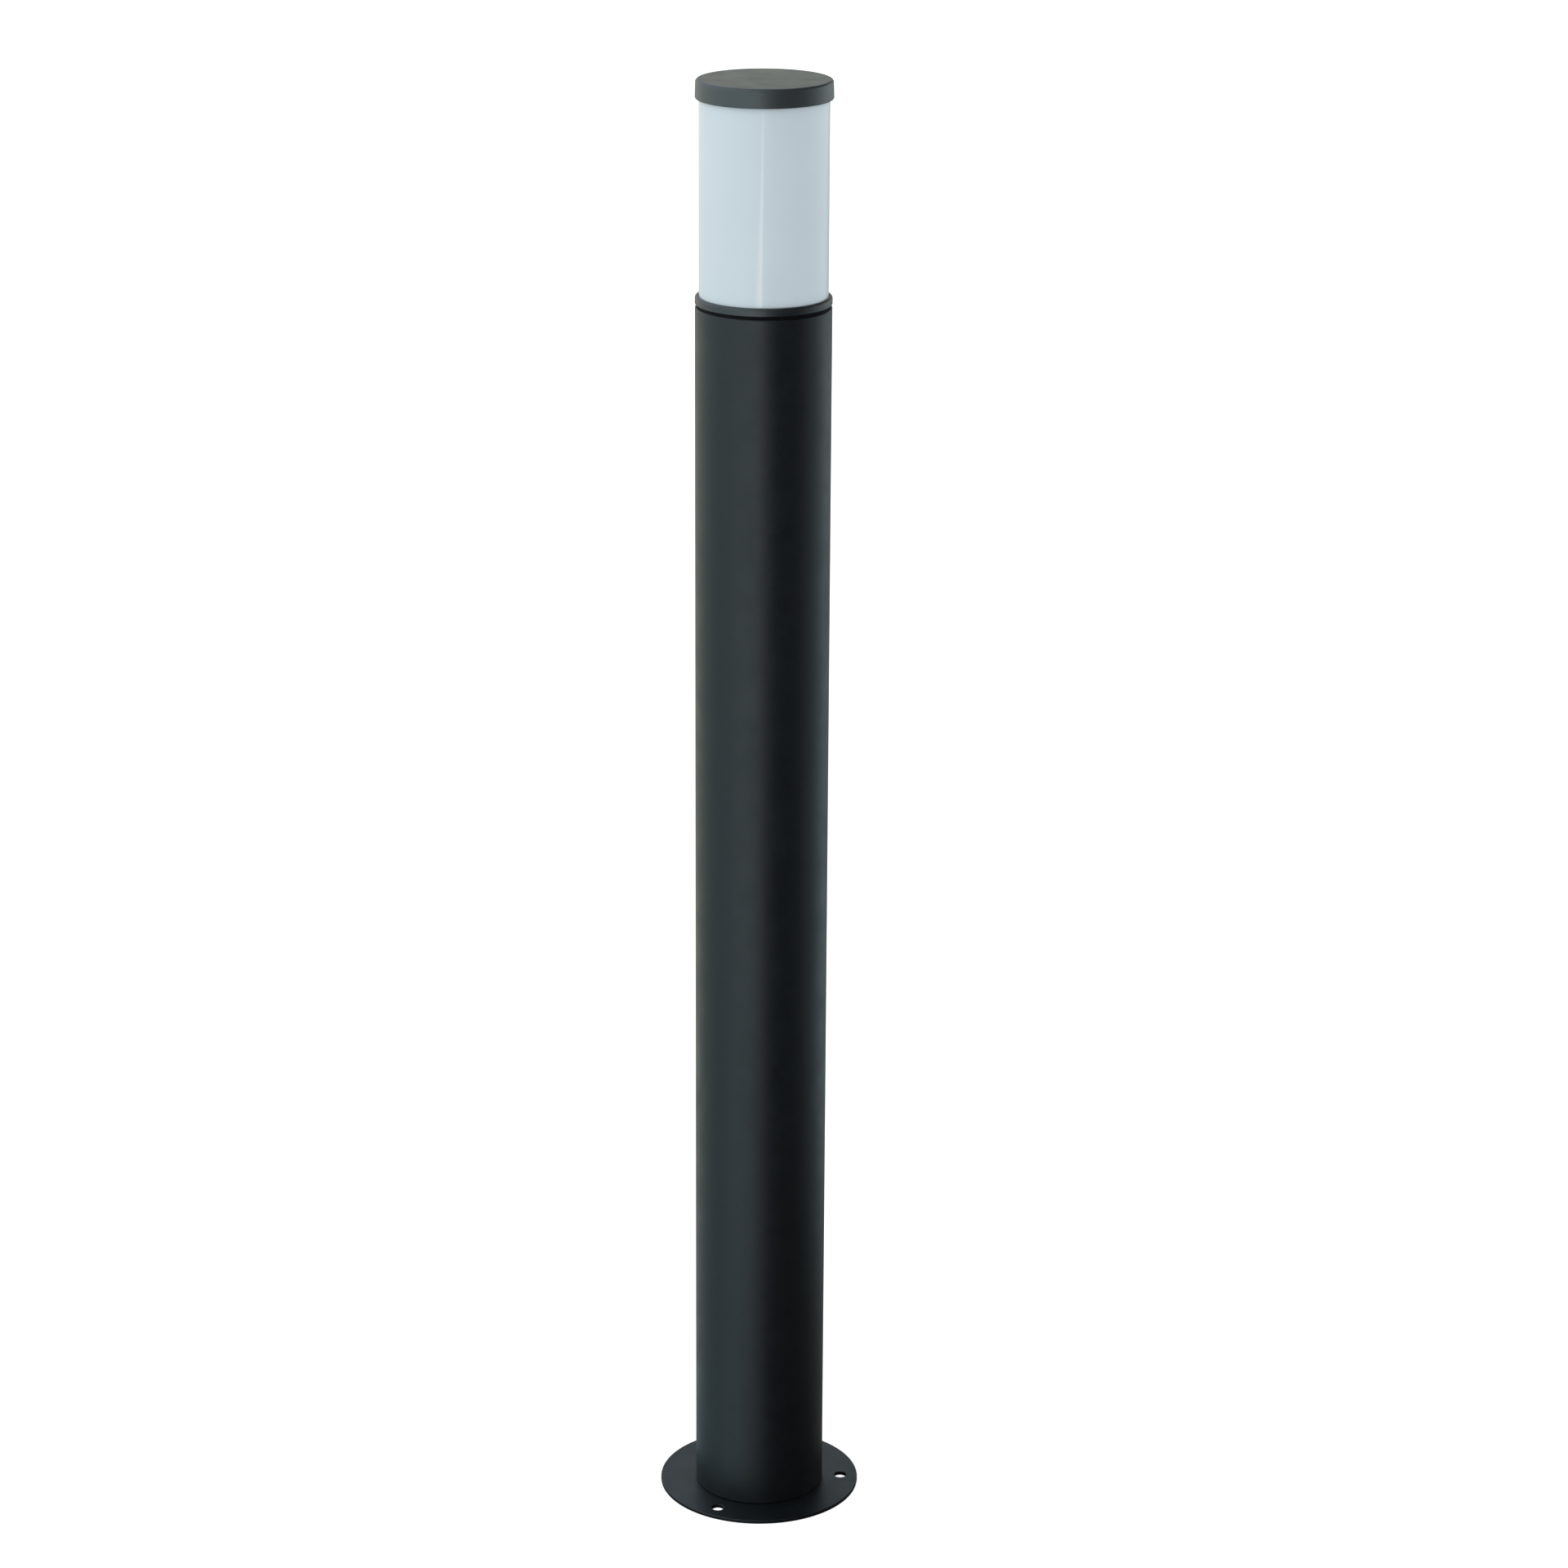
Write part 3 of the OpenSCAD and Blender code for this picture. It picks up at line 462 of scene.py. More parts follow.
class PATHLIGHT_OT_foot_plate(bpy.types.Operator):
    """Builds the flange with its anchor holes, post screw holes and cable hole"""

    bl_idname = "pathlight.foot_plate"
    bl_label = "Foot Plate"

    def execute(self, context):
        sizes, post = values().flange, values().post
        radius, low, high = reach("base_flange")
        e = sizes.edge
        plate = add_object(
            "foot_plate",
            turned(
                outline(
                    (sizes.cable_hole / 2, low),
                    arc((radius - e, low + e), e, -90, 0, steps=4),
                    arc((radius - e, high - e), e, 0, 90, steps=4),
                    (sizes.cable_hole / 2, high),
                )
            ),
        )
        anchors = eased_hole(sizes.anchor_hole, low, high, sizes.ease)
        carve(plate, "DIFFERENCE", round_axis(anchors, sizes.anchor_count, radius - sizes.anchor_inset))
        r, head = sizes.screw_hole / 2, sizes.screw_head / 2
        countersink = turned(
            outline(
                (0, low - PAST),
                (head, low - PAST),
                (head, low + sizes.head_recess),
                (r, low + sizes.head_recess + head - r),
                (r, high + PAST),
                (0, high + PAST),
            ),
            SMALL_FACETS,
        )
        carve(plate, "DIFFERENCE", round_axis(countersink, POST_PORTS, post.port_radius, post.port_turn))
        finish_piece(plate, textured_powder_coat(), "base_flange")
        return {"FINISHED"}


def port_ring(sizes):
    """Outline of a screw port: a round wall, open towards the axis by a slot."""
    half = sizes.port_slot / 2
    wall_end = 180 - degrees(asin(half / (sizes.port / 2)))
    bore_end = 180 - degrees(asin(half / (sizes.port_bore / 2)))
    return outline(
        arc((0, 0), sizes.port / 2, -wall_end, wall_end, steps=32),
        arc((0, 0), sizes.port_bore / 2, bore_end, -bore_end, steps=24),
    )


class PATHLIGHT_OT_post(bpy.types.Operator):
    """Builds the extruded post with its screw ports and the lock screw's hole"""

    bl_idname = "pathlight.post"
    bl_label = "Post"

    def execute(self, context):
        sizes = values().post
        radius, low, high = reach("post_tube")
        c = sizes.chamfer
        post = add_object(
            "post",
            turned(
                outline(
                    (radius - sizes.wall, low),
                    (radius - c, low),
                    (radius, low + c),
                    (radius, high - c),
                    (radius - c, high),
                    (radius - sizes.wall, high),
                )
            ),
        )
        port_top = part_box("gear_plate")[0].z
        port = prism(port_ring(sizes), low, port_top)
        carve(post, "UNION", round_axis(port, POST_PORTS, sizes.port_radius, sizes.port_turn))
        carve(post, "DIFFERENCE", radial_bore(sizes.lock_hole, radius - 2 * sizes.wall, radius + PAST))
        finish_piece(post, textured_powder_coat(), "post_tube")
        return {"FINISHED"}


def lock_height():
    """Height of the lock screw's axis."""
    low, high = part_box("lock_screw")
    return (low.z + high.z) / 2


def radial_bore(diameter, near, far):
    """Round bar towards the back at the lock screw's height, from radius near to radius far."""
    height = Matrix.Translation((0, 0, lock_height()))
    laid = turn_about("Y", radians(90))
    return placed(rod(diameter, near, far), height, turn_about("Z", radians(90)), laid)


class PATHLIGHT_OT_collar(bpy.types.Operator):
    """Builds the cast ring: rim, seat, spigot, lugs for the tie rods and the lock screw's boss"""

    bl_idname = "pathlight.collar"
    bl_label = "Collar"

    def execute(self, context):
        sizes = values().head
        radius, low, high = reach("head_ring")
        rim_low = reach("ring_gasket")[2]
        e = sizes.rim_edge
        inner = sizes.spigot_radius - sizes.spigot_wall
        seat = rim_low + sizes.seat_floor
        collar = add_object(
            "collar",
            turned(
                outline(
                    (inner, low),
                    (sizes.spigot_radius, low),
                    (sizes.spigot_radius, rim_low),
                    (radius, rim_low),
                    arc((radius - e, high - e), e, 0, 90),
                    (sizes.seat_radius, high),
                    (sizes.seat_radius, seat),
                    (inner, seat),
                )
            ),
        )
        half, wall = sizes.lug / 2, inner + PAST - sizes.lug_radius
        lug_ring = outline((wall, -half), (wall, half), arc((0, 0), half, 90, 270, steps=24))
        lug = prism(lug_ring, seat - sizes.lug_height, seat)
        carve(collar, "UNION", round_axis(lug, HEAD_RODS, sizes.lug_radius))
        half = sizes.lock_boss / 2
        near, far = sizes.lock_boss_radius, inner + PAST
        boss_ring = outline((near, -half), (far, -half), (far, half), (near, half))
        boss = prism(boss_ring, lock_height() - half, lock_height() + half)
        carve(collar, "UNION", placed(boss, turn_about("Z", radians(90))))
        hole = rod(sizes.rod_hole, seat - sizes.lug_height - PAST, seat + PAST)
        carve(collar, "DIFFERENCE", round_axis(hole, HEAD_RODS, sizes.lug_radius))
        carve(collar, "DIFFERENCE", radial_bore(sizes.lock_bore, near - PAST, radius + PAST))
        finish_piece(collar, fine_powder_coat("ring_coat"), "head_ring")
        return {"FINISHED"}


class PATHLIGHT_OT_groove_gasket(bpy.types.Operator):
    """Builds the black gasket that shows as a groove between the post and the collar"""

    bl_idname = "pathlight.groove_gasket"
    bl_label = "Groove Gasket"

    def execute(self, context):
        radius, low, high = reach("ring_gasket")
        inner = values().head.spigot_radius + values().head.gasket_fit
        ring = outline((inner, low), (radius, low), (radius, high), (inner, high))
        finish_piece(add_object("groove_gasket", turned(ring)), epdm_rubber(), "ring_gasket")
        return {"FINISHED"}


class PATHLIGHT_OT_opal_tube(bpy.types.Operator):
    """Builds the opal acrylic tube"""

    bl_idname = "pathlight.opal_tube"
    bl_label = "Opal Tube"

    def execute(self, context):
        sizes = values().head
        radius, low, high = reach("diffuser")
        inner, e = radius - sizes.tube_wall, sizes.tube_edge
        tube = turned(
            outline(
                (inner + e, low),
                (radius - e, low),
                (radius, low + e),
                (radius, high - e),
                (radius - e, high),
                (inner + e, high),
                (inner, high - e),
                (inner, low + e),
            )
        )
        finish_piece(add_object("opal_tube", tube), opal_acrylic(), "diffuser")
        return {"FINISHED"}


class PATHLIGHT_OT_lid(bpy.types.Operator):
    """Builds the cast cap with its rim and the threaded bosses under it"""

    bl_idname = "pathlight.lid"
    bl_label = "Lid"

    def execute(self, context):
        sizes = values().head
        radius, rim_low, top = reach("cap")
        under = reach("cap_seal")[2]
        e, lip = sizes.cap_edge, sizes.cap_lip
        lid = add_object(
            "lid",
            turned(
                outline(
                    (0, under),
                    (sizes.seat_radius, under),
                    (sizes.seat_radius, rim_low),
                    arc((radius - lip, rim_low + lip), lip, -90, 0),
                    arc((radius - sizes.cap_draft - e, top - e), e, 0, 90),
                    (0, top),
                )
            ),
        )
        boss_low = under - sizes.cap_boss_height
        boss = rod(sizes.cap_boss, boss_low, under + PAST)
        carve(lid, "UNION", round_axis(boss, HEAD_RODS, sizes.lug_radius))
        bore = rod(sizes.cap_bore, boss_low - PAST, top - sizes.cap_roof)
        carve(lid, "DIFFERENCE", round_axis(bore, HEAD_RODS, sizes.lug_radius))
        finish_piece(lid, fine_powder_coat("cap_coat"), "cap")
        return {"FINISHED"}


class PATHLIGHT_OT_draw_rods(bpy.types.Operator):
    """Builds the rods that draw the cap down, with a rolled thread at both ends"""

    bl_idname = "pathlight.draw_rods"
    bl_label = "Draw Rods"

    def execute(self, context):
        sizes = values().rods
        low, high = (corner.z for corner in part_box("tie_rods"))
        radius, pitch, depth = sizes.diameter / 2, sizes.pitch, sizes.depth
        lower_end, upper_start = low + sizes.lower_thread, high - sizes.upper_thread
        bar = turned(
            outline(
                (0, low),
                (radius - depth, low),
                thread_wall(radius, pitch, low + depth, lower_end),
                thread_wall(radius, pitch, upper_start, high - depth),
                (radius - depth, high),
                (0, high),
            ),
            ROD_FACETS,
        )
        bar = threaded(bar, pitch, depth, low, lower_end)
        bar = threaded(bar, pitch, depth, upper_start, high)
        rods = add_object("draw_rods", round_axis(bar, HEAD_RODS, values().head.lug_radius))
        finish_piece(rods, zinc_plated_steel(), "tie_rods")
        return {"FINISHED"}


class PATHLIGHT_OT_screw_shell(bpy.types.Operator):
    """Builds the lamp holder's screw shell, rolled from brass sheet, with its rivet"""

    bl_idname = "pathlight.screw_shell"
    bl_label = "Screw Shell"

    def execute(self, context):
        sizes = values().screw_shell
        radius, low, high = reach("thread_shell")
        wall, floor = sizes.wall, high - sizes.height
        shell = turned(
            outline(
                (sizes.opening, floor),
                thread_wall(radius, sizes.pitch, floor, high),
                thread_wall(radius - wall, sizes.pitch, floor + wall, high)[::-1],
                (sizes.opening, floor + wall),
            ),
            BULB_FACETS,
        )
        shell = threaded(shell, sizes.pitch, sizes.depth, floor + wall, high)
        piece = add_object("screw_shell", shell)
        rivet = rod(sizes.rivet, low, floor + wall / 2)
        carve(piece, "UNION", placed(rivet, Matrix.Translation((0, -sizes.rivet_offset, 0))))
        finish_piece(piece, turned_brass(), "thread_shell")
        return {"FINISHED"}


class PATHLIGHT_OT_bulb(bpy.types.Operator):
    """Builds the bulb: contact, black glass, screw cap, neck and opal dome"""

    bl_idname = "pathlight.bulb"
    bl_label = "Bulb"

    def execute(self, context):
        sizes = values().bulb
        radius, low, _ = reach("led_bulb")
        pitch = values().screw_shell.pitch
        glass_low = low + sizes.tip_height
        cap_low = glass_low + sizes.glass_height
        thread_low = cap_low + sizes.cap_shoulder
        thread_high = thread_low + sizes.thread_length
        cap_high = reach("lamp_holder")[2] + sizes.rim_gap
        neck_low = cap_high + sizes.neck - sizes.cap
        middle = low + sizes.overall - radius
        round_end = arc((0, middle), radius, degrees(sizes.dome_start), 90, steps=48)
        dome = outline((0, round_end[0, 1]), round_end)
        contact = outline((0, low), (sizes.tip, low), (sizes.tip, glass_low), (0, glass_low))
        glass = outline((0, glass_low), (sizes.tip, glass_low), (sizes.glass, cap_low), (0, cap_low))
        screw_cap = outline(
            (0, cap_low),
            (sizes.glass, cap_low),
            thread_wall(sizes.cap, pitch, thread_low, thread_high),
            (sizes.cap, cap_high),
            (0, cap_high),
        )
        neck = outline(
            (0, cap_high),
            (sizes.cap, cap_high),
            (sizes.neck, neck_low),
            (sizes.neck, low + sizes.neck_height),
            dome[1],
            dome[0],
        )
        rolled = threaded(turned(screw_cap, BULB_FACETS), pitch, sizes.thread_depth, thread_low, thread_high)
        pieces = (
            ("bulb_contact", turned(contact, BULB_FACETS), zinc_plated_steel(), "zinc_steel"),
            ("bulb_glass", turned(glass, BULB_FACETS), vitrite_glass(), "bulb_opal"),
            ("bulb_screw_cap", rolled, nickel_plate(), "zinc_steel"),
            ("bulb_neck", turned(neck, BULB_FACETS), moulded_housing(), "bulb_opal"),
            ("bulb_dome", turned(dome, BULB_FACETS), opal_polycarbonate(), "bulb_opal"),
        )
        for name, shape, material, slot in pieces:
            finish_piece(add_object(name, shape), material, "led_bulb")
        return {"FINISHED"}


class PATHLIGHT_OT_steelwork(bpy.types.Operator):
    """Dresses the screws, nuts, washers, earth lug, gear plate and bracket in zinc plate"""

    bl_idname = "pathlight.steelwork"
    bl_label = "Steelwork"

    def execute(self, context):
        screws = ("flange_screws", "gear_screws", "bracket_screws", "block_screws", "terminal_screws")
        small = ("earth_screw", "earth_lug", "lock_screw", "nipple_nut", "tie_washers", "tie_nuts")
        dress(zinc_plated_steel(), *screws, *small, "gear_plate", "holder_bracket")
        return {"FINISHED"}


class PATHLIGHT_OT_brasswork(bpy.types.Operator):
    """Dresses the terminal barrels, the nipple and the centre contact in brass"""

    bl_idname = "pathlight.brasswork"
    bl_label = "Brasswork"

    def execute(self, context):
        dress(turned_brass(), "terminal_barrels", "holder_nipple", "centre_contact")
        return {"FINISHED"}


class PATHLIGHT_OT_rubber_parts(bpy.types.Operator):
    """Dresses the cable bush and the seals in rubber"""

    bl_idname = "pathlight.rubber_parts"
    bl_label = "Rubber Parts"

    def execute(self, context):
        dress(epdm_rubber(), "cable_bush", "gland_seal", "diffuser_seal", "cap_seal")
        return {"FINISHED"}


class PATHLIGHT_OT_mouldings(bpy.types.Operator):
    """Dresses the cable gland, the terminal block and the lamp holder in nylon and porcelain"""

    bl_idname = "pathlight.mouldings"
    bl_label = "Mouldings"

    def execute(self, context):
        dress(moulded_nylon("dark_nylon"), "gland_body", "gland_nut", "gland_locknut")
        dress(moulded_nylon("pale_nylon"), "terminal_block")
        dress(glazed_porcelain(), "lamp_holder")
        return {"FINISHED"}


class PATHLIGHT_OT_leads(bpy.types.Operator):
    """Dresses the live, neutral and earth leads in their sleeves"""

    bl_idname = "pathlight.leads"
    bl_label = "Leads"

    def execute(self, context):
        dress(pvc_sleeve("brown"), "lead_live")
        dress(pvc_sleeve("blue"), "lead_neutral")
        dress(striped_sleeve(), "lead_earth")
        return {"FINISHED"}


# Finishes: each is made once, so that like pieces share it


def add(tree, kind, sockets=None, **settings):
    """Adds a node to a tree with its settings, and sets or links its sockets.

    A socket goes by its name, or by its number where a node has several of one name.
    """
    node = tree.nodes.new(kind)
    for name, value in settings.items():
        setattr(node, name, value)
    for name, value in (sockets or {}).items():
        if isinstance(value, bpy.types.NodeSocket):
            tree.links.new(value, node.inputs[name])
        else:
            node.inputs[name].default_value = value
    return node


def blended(tree, share_of_second, first, second):
    """Two colours mixed by a share."""
    # A Mix node's colours go in at sockets 6 and 7 and come out at 2
    mix = add(tree, "ShaderNodeMix", {"Factor": share_of_second, 6: first, 7: second}, data_type="RGBA")
    return mix.outputs[2]


def mottled(tree, place, base, spread, spacing):
    """A colour that drifts from its base by a share either way, over patches of the given spacing."""
    noise = add(tree, "ShaderNodeTexNoise", {"Vector": place, "Scale": 1 / spacing, "Detail": 3})
    ramp = add(tree, "ShaderNodeValToRGB", {"Fac": noise.outputs["Fac"]})
    ends = zip(ramp.color_ramp.elements, (NOISE_LOW, NOISE_HIGH), (1 - spread, 1 + spread))
    for element, position, factor in ends:
        element.position = position
        element.color = (*[min(1, level * factor) for level in base], 1)
    return ramp.outputs["Color"]


def drifting(tree, place, middle, spread, spacing):
    """A value that drifts either way from its middle over patches of the given spacing."""
    noise = add(tree, "ShaderNodeTexNoise", {"Vector": place, "Scale": 1 / spacing, "Detail": 2})
    limits = {"Value": noise.outputs["Fac"], "From Min": NOISE_LOW, "From Max": NOISE_HIGH}
    limits.update({"To Min": middle - spread, "To Max": middle + spread})
    return add(tree, "ShaderNodeMapRange", limits).outputs["Result"]


def grained(tree, place, spacing, depth):
    """A normal that follows grains of the given spacing and depth."""
    noise = add(tree, "ShaderNodeTexNoise", {"Vector": place, "Scale": 1 / spacing, "Detail": 1})
    bump = add(tree, "ShaderNodeBump", {"Height": noise.outputs["Fac"], "Distance": depth})
    return bump.outputs["Normal"]


def new_finish(name, base, roughness, mottle=None, drift=None, grain=None, **constants):
    """A material with one shader, patterned on the piece's own coordinates.

    mottle is the colour's spread and spacing, drift is the roughness's spread and spacing, and grain is
    the spacing and depth of the surface's grains. The constants are other sockets of the shader.
    """
    material = bpy.data.materials.new(name)
    material.use_nodes = True
    tree = material.node_tree
    shader = tree.nodes["Principled BSDF"]
    shader.inputs["Base Color"].default_value = (*base, 1)
    shader.inputs["Roughness"].default_value = roughness
    for socket, value in constants.items():
        shader.inputs[socket].default_value = value
    place = add(tree, "ShaderNodeTexCoord").outputs["Object"]
    if mottle:
        tree.links.new(mottled(tree, place, base, *mottle), shader.inputs["Base Color"])
    if drift:
        tree.links.new(drifting(tree, place, roughness, *drift), shader.inputs["Roughness"])
    if grain:
        tree.links.new(grained(tree, place, *grain), shader.inputs["Normal"])
    return material


@cache
def textured_powder_coat():
    """Polyester powder coat, sprayed dry and baked with a fine texture: near-black, with a soft sheen."""
    coat = values().finish
    # The real grains are about 0.4 mm apart, too fine to show at this distance, so they are drawn coarser
    grain = (coat.coat_grain, 0.05 * MM)
    mottle, drift = (0.12, 6 * MM), (0.04, 20 * MM)
    return new_finish("textured_powder_coat", coat.post_coat, 0.42, mottle, drift, grain, IOR=1.6)


@cache
def fine_powder_coat(shade):
    """Fine powder coat on die-cast aluminium: smoother than the post's coat, with a fuller sheen."""
    base = getattr(values().finish, shade)
    grain = (values().finish.fine_grain, 0.03 * MM)
    mottle, drift = (0.06, 9 * MM), (0.03, 15 * MM)
    return new_finish(f"fine_{shade}", base, 0.4, mottle, drift, grain, IOR=1.85)


@cache
def opal_acrylic():
    """Extruded opal acrylic: a milky body under a glossy skin."""
    return new_finish("opal_acrylic", values().finish.opal, 0.08, mottle=(0.01, 30 * MM), IOR=1.49)


@cache
def epdm_rubber():
    """Moulded EPDM rubber: black and dull."""
    mottle, grain = (0.2, 4 * MM), (0.5 * MM, 0.04 * MM)
    return new_finish("epdm_rubber", values().finish.rubber, 0.85, mottle=mottle, grain=grain, IOR=1.35)


@cache
def zinc_plated_steel():
    """Zinc-plated steel: cool bright metal with cloudy patches from the passivation bath."""
    mottle, drift = (0.08, 5 * MM), (0.08, 3 * MM)
    return new_finish("zinc_plated_steel", values().finish.zinc, 0.3, mottle, drift, Metallic=1)


@cache
def turned_brass():
    """Turned and pressed brass: warm yellow metal, a little dulled by handling."""
    mottle, drift = (0.1, 4 * MM), (0.08, 2 * MM)
    return new_finish("turned_brass", values().finish.brass, 0.26, mottle, drift, Metallic=1)


@cache
def nickel_plate():
    """Nickel plate on rolled brass: a warm bright silver with fine streaks from the rolling."""
    mottle, grain = (0.05, 6 * MM), (0.8 * MM, 0.01 * MM)
    return new_finish("nickel_plate", values().finish.nickel, 0.2, mottle=mottle, grain=grain, Metallic=1)


@cache
def vitrite_glass():
    """Pressed black glass: glossy and slightly wavy."""
    grain = (2 * MM, 0.05 * MM)
    return new_finish("vitrite_glass", values().finish.vitrite, 0.12, grain=grain, IOR=1.52)


@cache
def moulded_nylon(shade):
    """Glass-filled nylon from a spark-eroded mould: an even satin with a fine pebble."""
    base = getattr(values().finish, shade)
    mottle, grain = (0.05, 3 * MM), (0.4 * MM, 0.02 * MM)
    return new_finish(f"moulded_{shade}", base, 0.5, mottle=mottle, grain=grain, IOR=1.53)


@cache
def glazed_porcelain():
    """Pressed porcelain, dipped and fired: a creamy white under a thick glossy glaze that pools a little."""
    mottle, grain = (0.02, 8 * MM), (5 * MM, 0.08 * MM)
    return new_finish("glazed_porcelain", values().finish.glaze, 0.12, mottle=mottle, grain=grain, IOR=1.5)


@cache
def moulded_housing():
    """Injection-moulded polycarbonate housing: plain warm white with a soft satin skin."""
    grain = (0.5 * MM, 0.01 * MM)
    return new_finish("moulded_housing", values().finish.housing, 0.35, grain=grain, IOR=1.58)


@cache
def opal_polycarbonate():
    """Blown opal polycarbonate: an even milky white with a satin skin."""
    return new_finish("opal_polycarbonate", values().finish.dome, 0.28, mottle=(0.01, 20 * MM), IOR=1.58)


@cache
def pvc_sleeve(shade):
    """Extruded PVC sleeve: one strong colour with a waxy sheen."""
    base = getattr(values().finish, shade)
    return new_finish(f"{shade}_pvc_sleeve", base, 0.38, mottle=(0.06, 4 * MM), IOR=1.53)


# The yellow stripe covers the sleeve where its normal points up by at least this much
STRIPE_LOW = 0.3


@cache
def striped_sleeve():
    """Green PVC sleeve with a yellow stripe, extruded together: the earth lead's two colours."""
    colours = values().finish
    material = new_finish("striped_sleeve", colours.green, 0.38, IOR=1.53)
    tree = material.node_tree
    upward = add(tree, "ShaderNodeSeparateXYZ", {0: add(tree, "ShaderNodeTexCoord").outputs["Normal"]})
    stripe = add(tree, "ShaderNodeMath", {0: upward.outputs["Z"], 1: STRIPE_LOW}, operation="GREATER_THAN")
    both = blended(tree, stripe.outputs[0], (*colours.green, 1), (*colours.yellow, 1))
    tree.links.new(both, tree.nodes["Principled BSDF"].inputs["Base Color"])
    return material


# Studio

# How the studio glows in reflections, in rings from the post's foot outwards and up: degrees to the right
# of the front, and the colour there. A cool window stands to the left of the camera, and a black flag to its
# right and overhead. In the foot ring, the dark stretch to the right is partly that flag and partly painted
# shadow: the post's shadow on the paper, painted into the glow.
FOOT_RING = (
    (-180, "#959790"),
    (-145, "#c4cbc8"),
    (-110, "#95aeb5"),
    (-80, "#8ba6ae"),
    (-38, "#bcdae7"),
    (-14, "#aab8c4"),
    (14, "#0a0b0c"),
    (80, "#181a1b"),
    (125, "#6e716f"),
    (150, "#7c7f7b"),
    (180, "#959790"),
)
PAPER_RING = (
    (-180, "#b3b6aa"),
    (-145, "#dfe2d2"),
    (-110, "#aac4c5"),
    (-80, "#9ab4bb"),
    (-60, "#b4ccd7"),
    (-38, "#dbfbff"),
    (-14, "#e2f3ff"),
    (12, "#222628"),
    (60, "#383e41"),
    (100, "#8b9fa7"),
    (130, "#c8e4ec"),
    (155, "#8a9090"),
    (180, "#b3b6aa"),
)
BACKDROP_RING = (
    (-180, "#efeed2"),
    (-145, "#f3f9ed"),
    (-100, "#f3ffff"),
    (-60, "#e1f9ff"),
    (-12, "#dbf4fa"),
    (14, "#4a5052"),
    (65, "#4c5356"),
    (90, "#a6b8c0"),
    (115, "#edffff"),
    (140, "#f3ffff"),
    (160, "#b0b8b0"),
    (180, "#efeed2"),
)
CEILING_RING = (
    (-180, "#93a8c0"),
    (-160, "#cfe6ff"),
    (-60, "#e7f9ff"),
    (-15, "#daeef3"),
    (15, "#303436"),
    (155, "#34373b"),
    (180, "#93a8c0"),
)


def way_round(tree, direction):
    """The direction's angle from the front, atan2(x, -y), as a share of the way round from the back."""
    parts = add(tree, "ShaderNodeSeparateXYZ", {0: direction})
    front = add(tree, "ShaderNodeMath", {0: parts.outputs["Y"], 1: -1}, operation="MULTIPLY")
    turn = add(tree, "ShaderNodeMath", {0: parts.outputs["X"], 1: front.outputs[0]}, operation="ARCTAN2")
    full = {"Value": turn.outputs[0], "From Min": -np.pi, "From Max": np.pi}
    return add(tree, "ShaderNodeMapRange", full).outputs[0]


def glow(tree, share_of_turn, stops):
    """The glow's colour at a share of the way round."""
    ramp = add(tree, "ShaderNodeValToRGB", {"Fac": share_of_turn})
    elements = ramp.color_ramp.elements
    while len(elements) < len(stops):
        elements.new(0.5)
    for element, (turn, code) in zip(elements, stops):
        element.position = (turn + 180) / 360
        element.color = (*linear(code), 1)
    return ramp.outputs["Color"]


def rising(tree, value, start, end):
    """A share that rises from 0 to 1 as the value goes from start to end."""
    limits = {"Value": value, "From Min": start, "From Max": end}
    return add(tree, "ShaderNodeMapRange", limits).outputs["Result"]


# Shares of the streak's width over which its right side and its left side fade
STREAK_RIGHT_FADE = 0.3
STREAK_LEFT_FADE = 0.5


def floor_streak(tree, place, studio):
    """A share that is 1 inside a wedge of light on the paper in front, and 0 outside it.

    The wedge runs away from the post. Its right side is straight, and its width shrinks evenly to nothing.
    It fades in over the near half of the way to where it starts.
    """
    parts = add(tree, "ShaderNodeSeparateXYZ", {0: place}).outputs
    side = -studio.streak_side
    ahead = add(tree, "ShaderNodeMath", {0: parts["Y"], 1: -1}, operation="MULTIPLY").outputs[0]
    aside = add(tree, "ShaderNodeMath", {0: side, 1: parts["X"]}, operation="SUBTRACT").outputs[0]
    limits = {"Value": ahead, "From Min": studio.streak_near, "From Max": studio.streak_far}
    limits.update({"To Min": studio.streak_width, "To Max": 0})
    width = add(tree, "ShaderNodeMapRange", limits).outputs["Result"]
    across = add(tree, "ShaderNodeMath", {0: aside, 1: width}, operation="DIVIDE").outputs[0]
    right = rising(tree, across, 0, STREAK_RIGHT_FADE)
    left = rising(tree, across, 1, 1 - STREAK_LEFT_FADE)
    begun = rising(tree, ahead, studio.streak_near / 2, studio.streak_near)
    inside = add(tree, "ShaderNodeMath", {0: right, 1: left}, operation="MULTIPLY").outputs[0]
    return add(tree, "ShaderNodeMath", {0: inside, 1: begun}, operation="MULTIPLY").outputs[0]


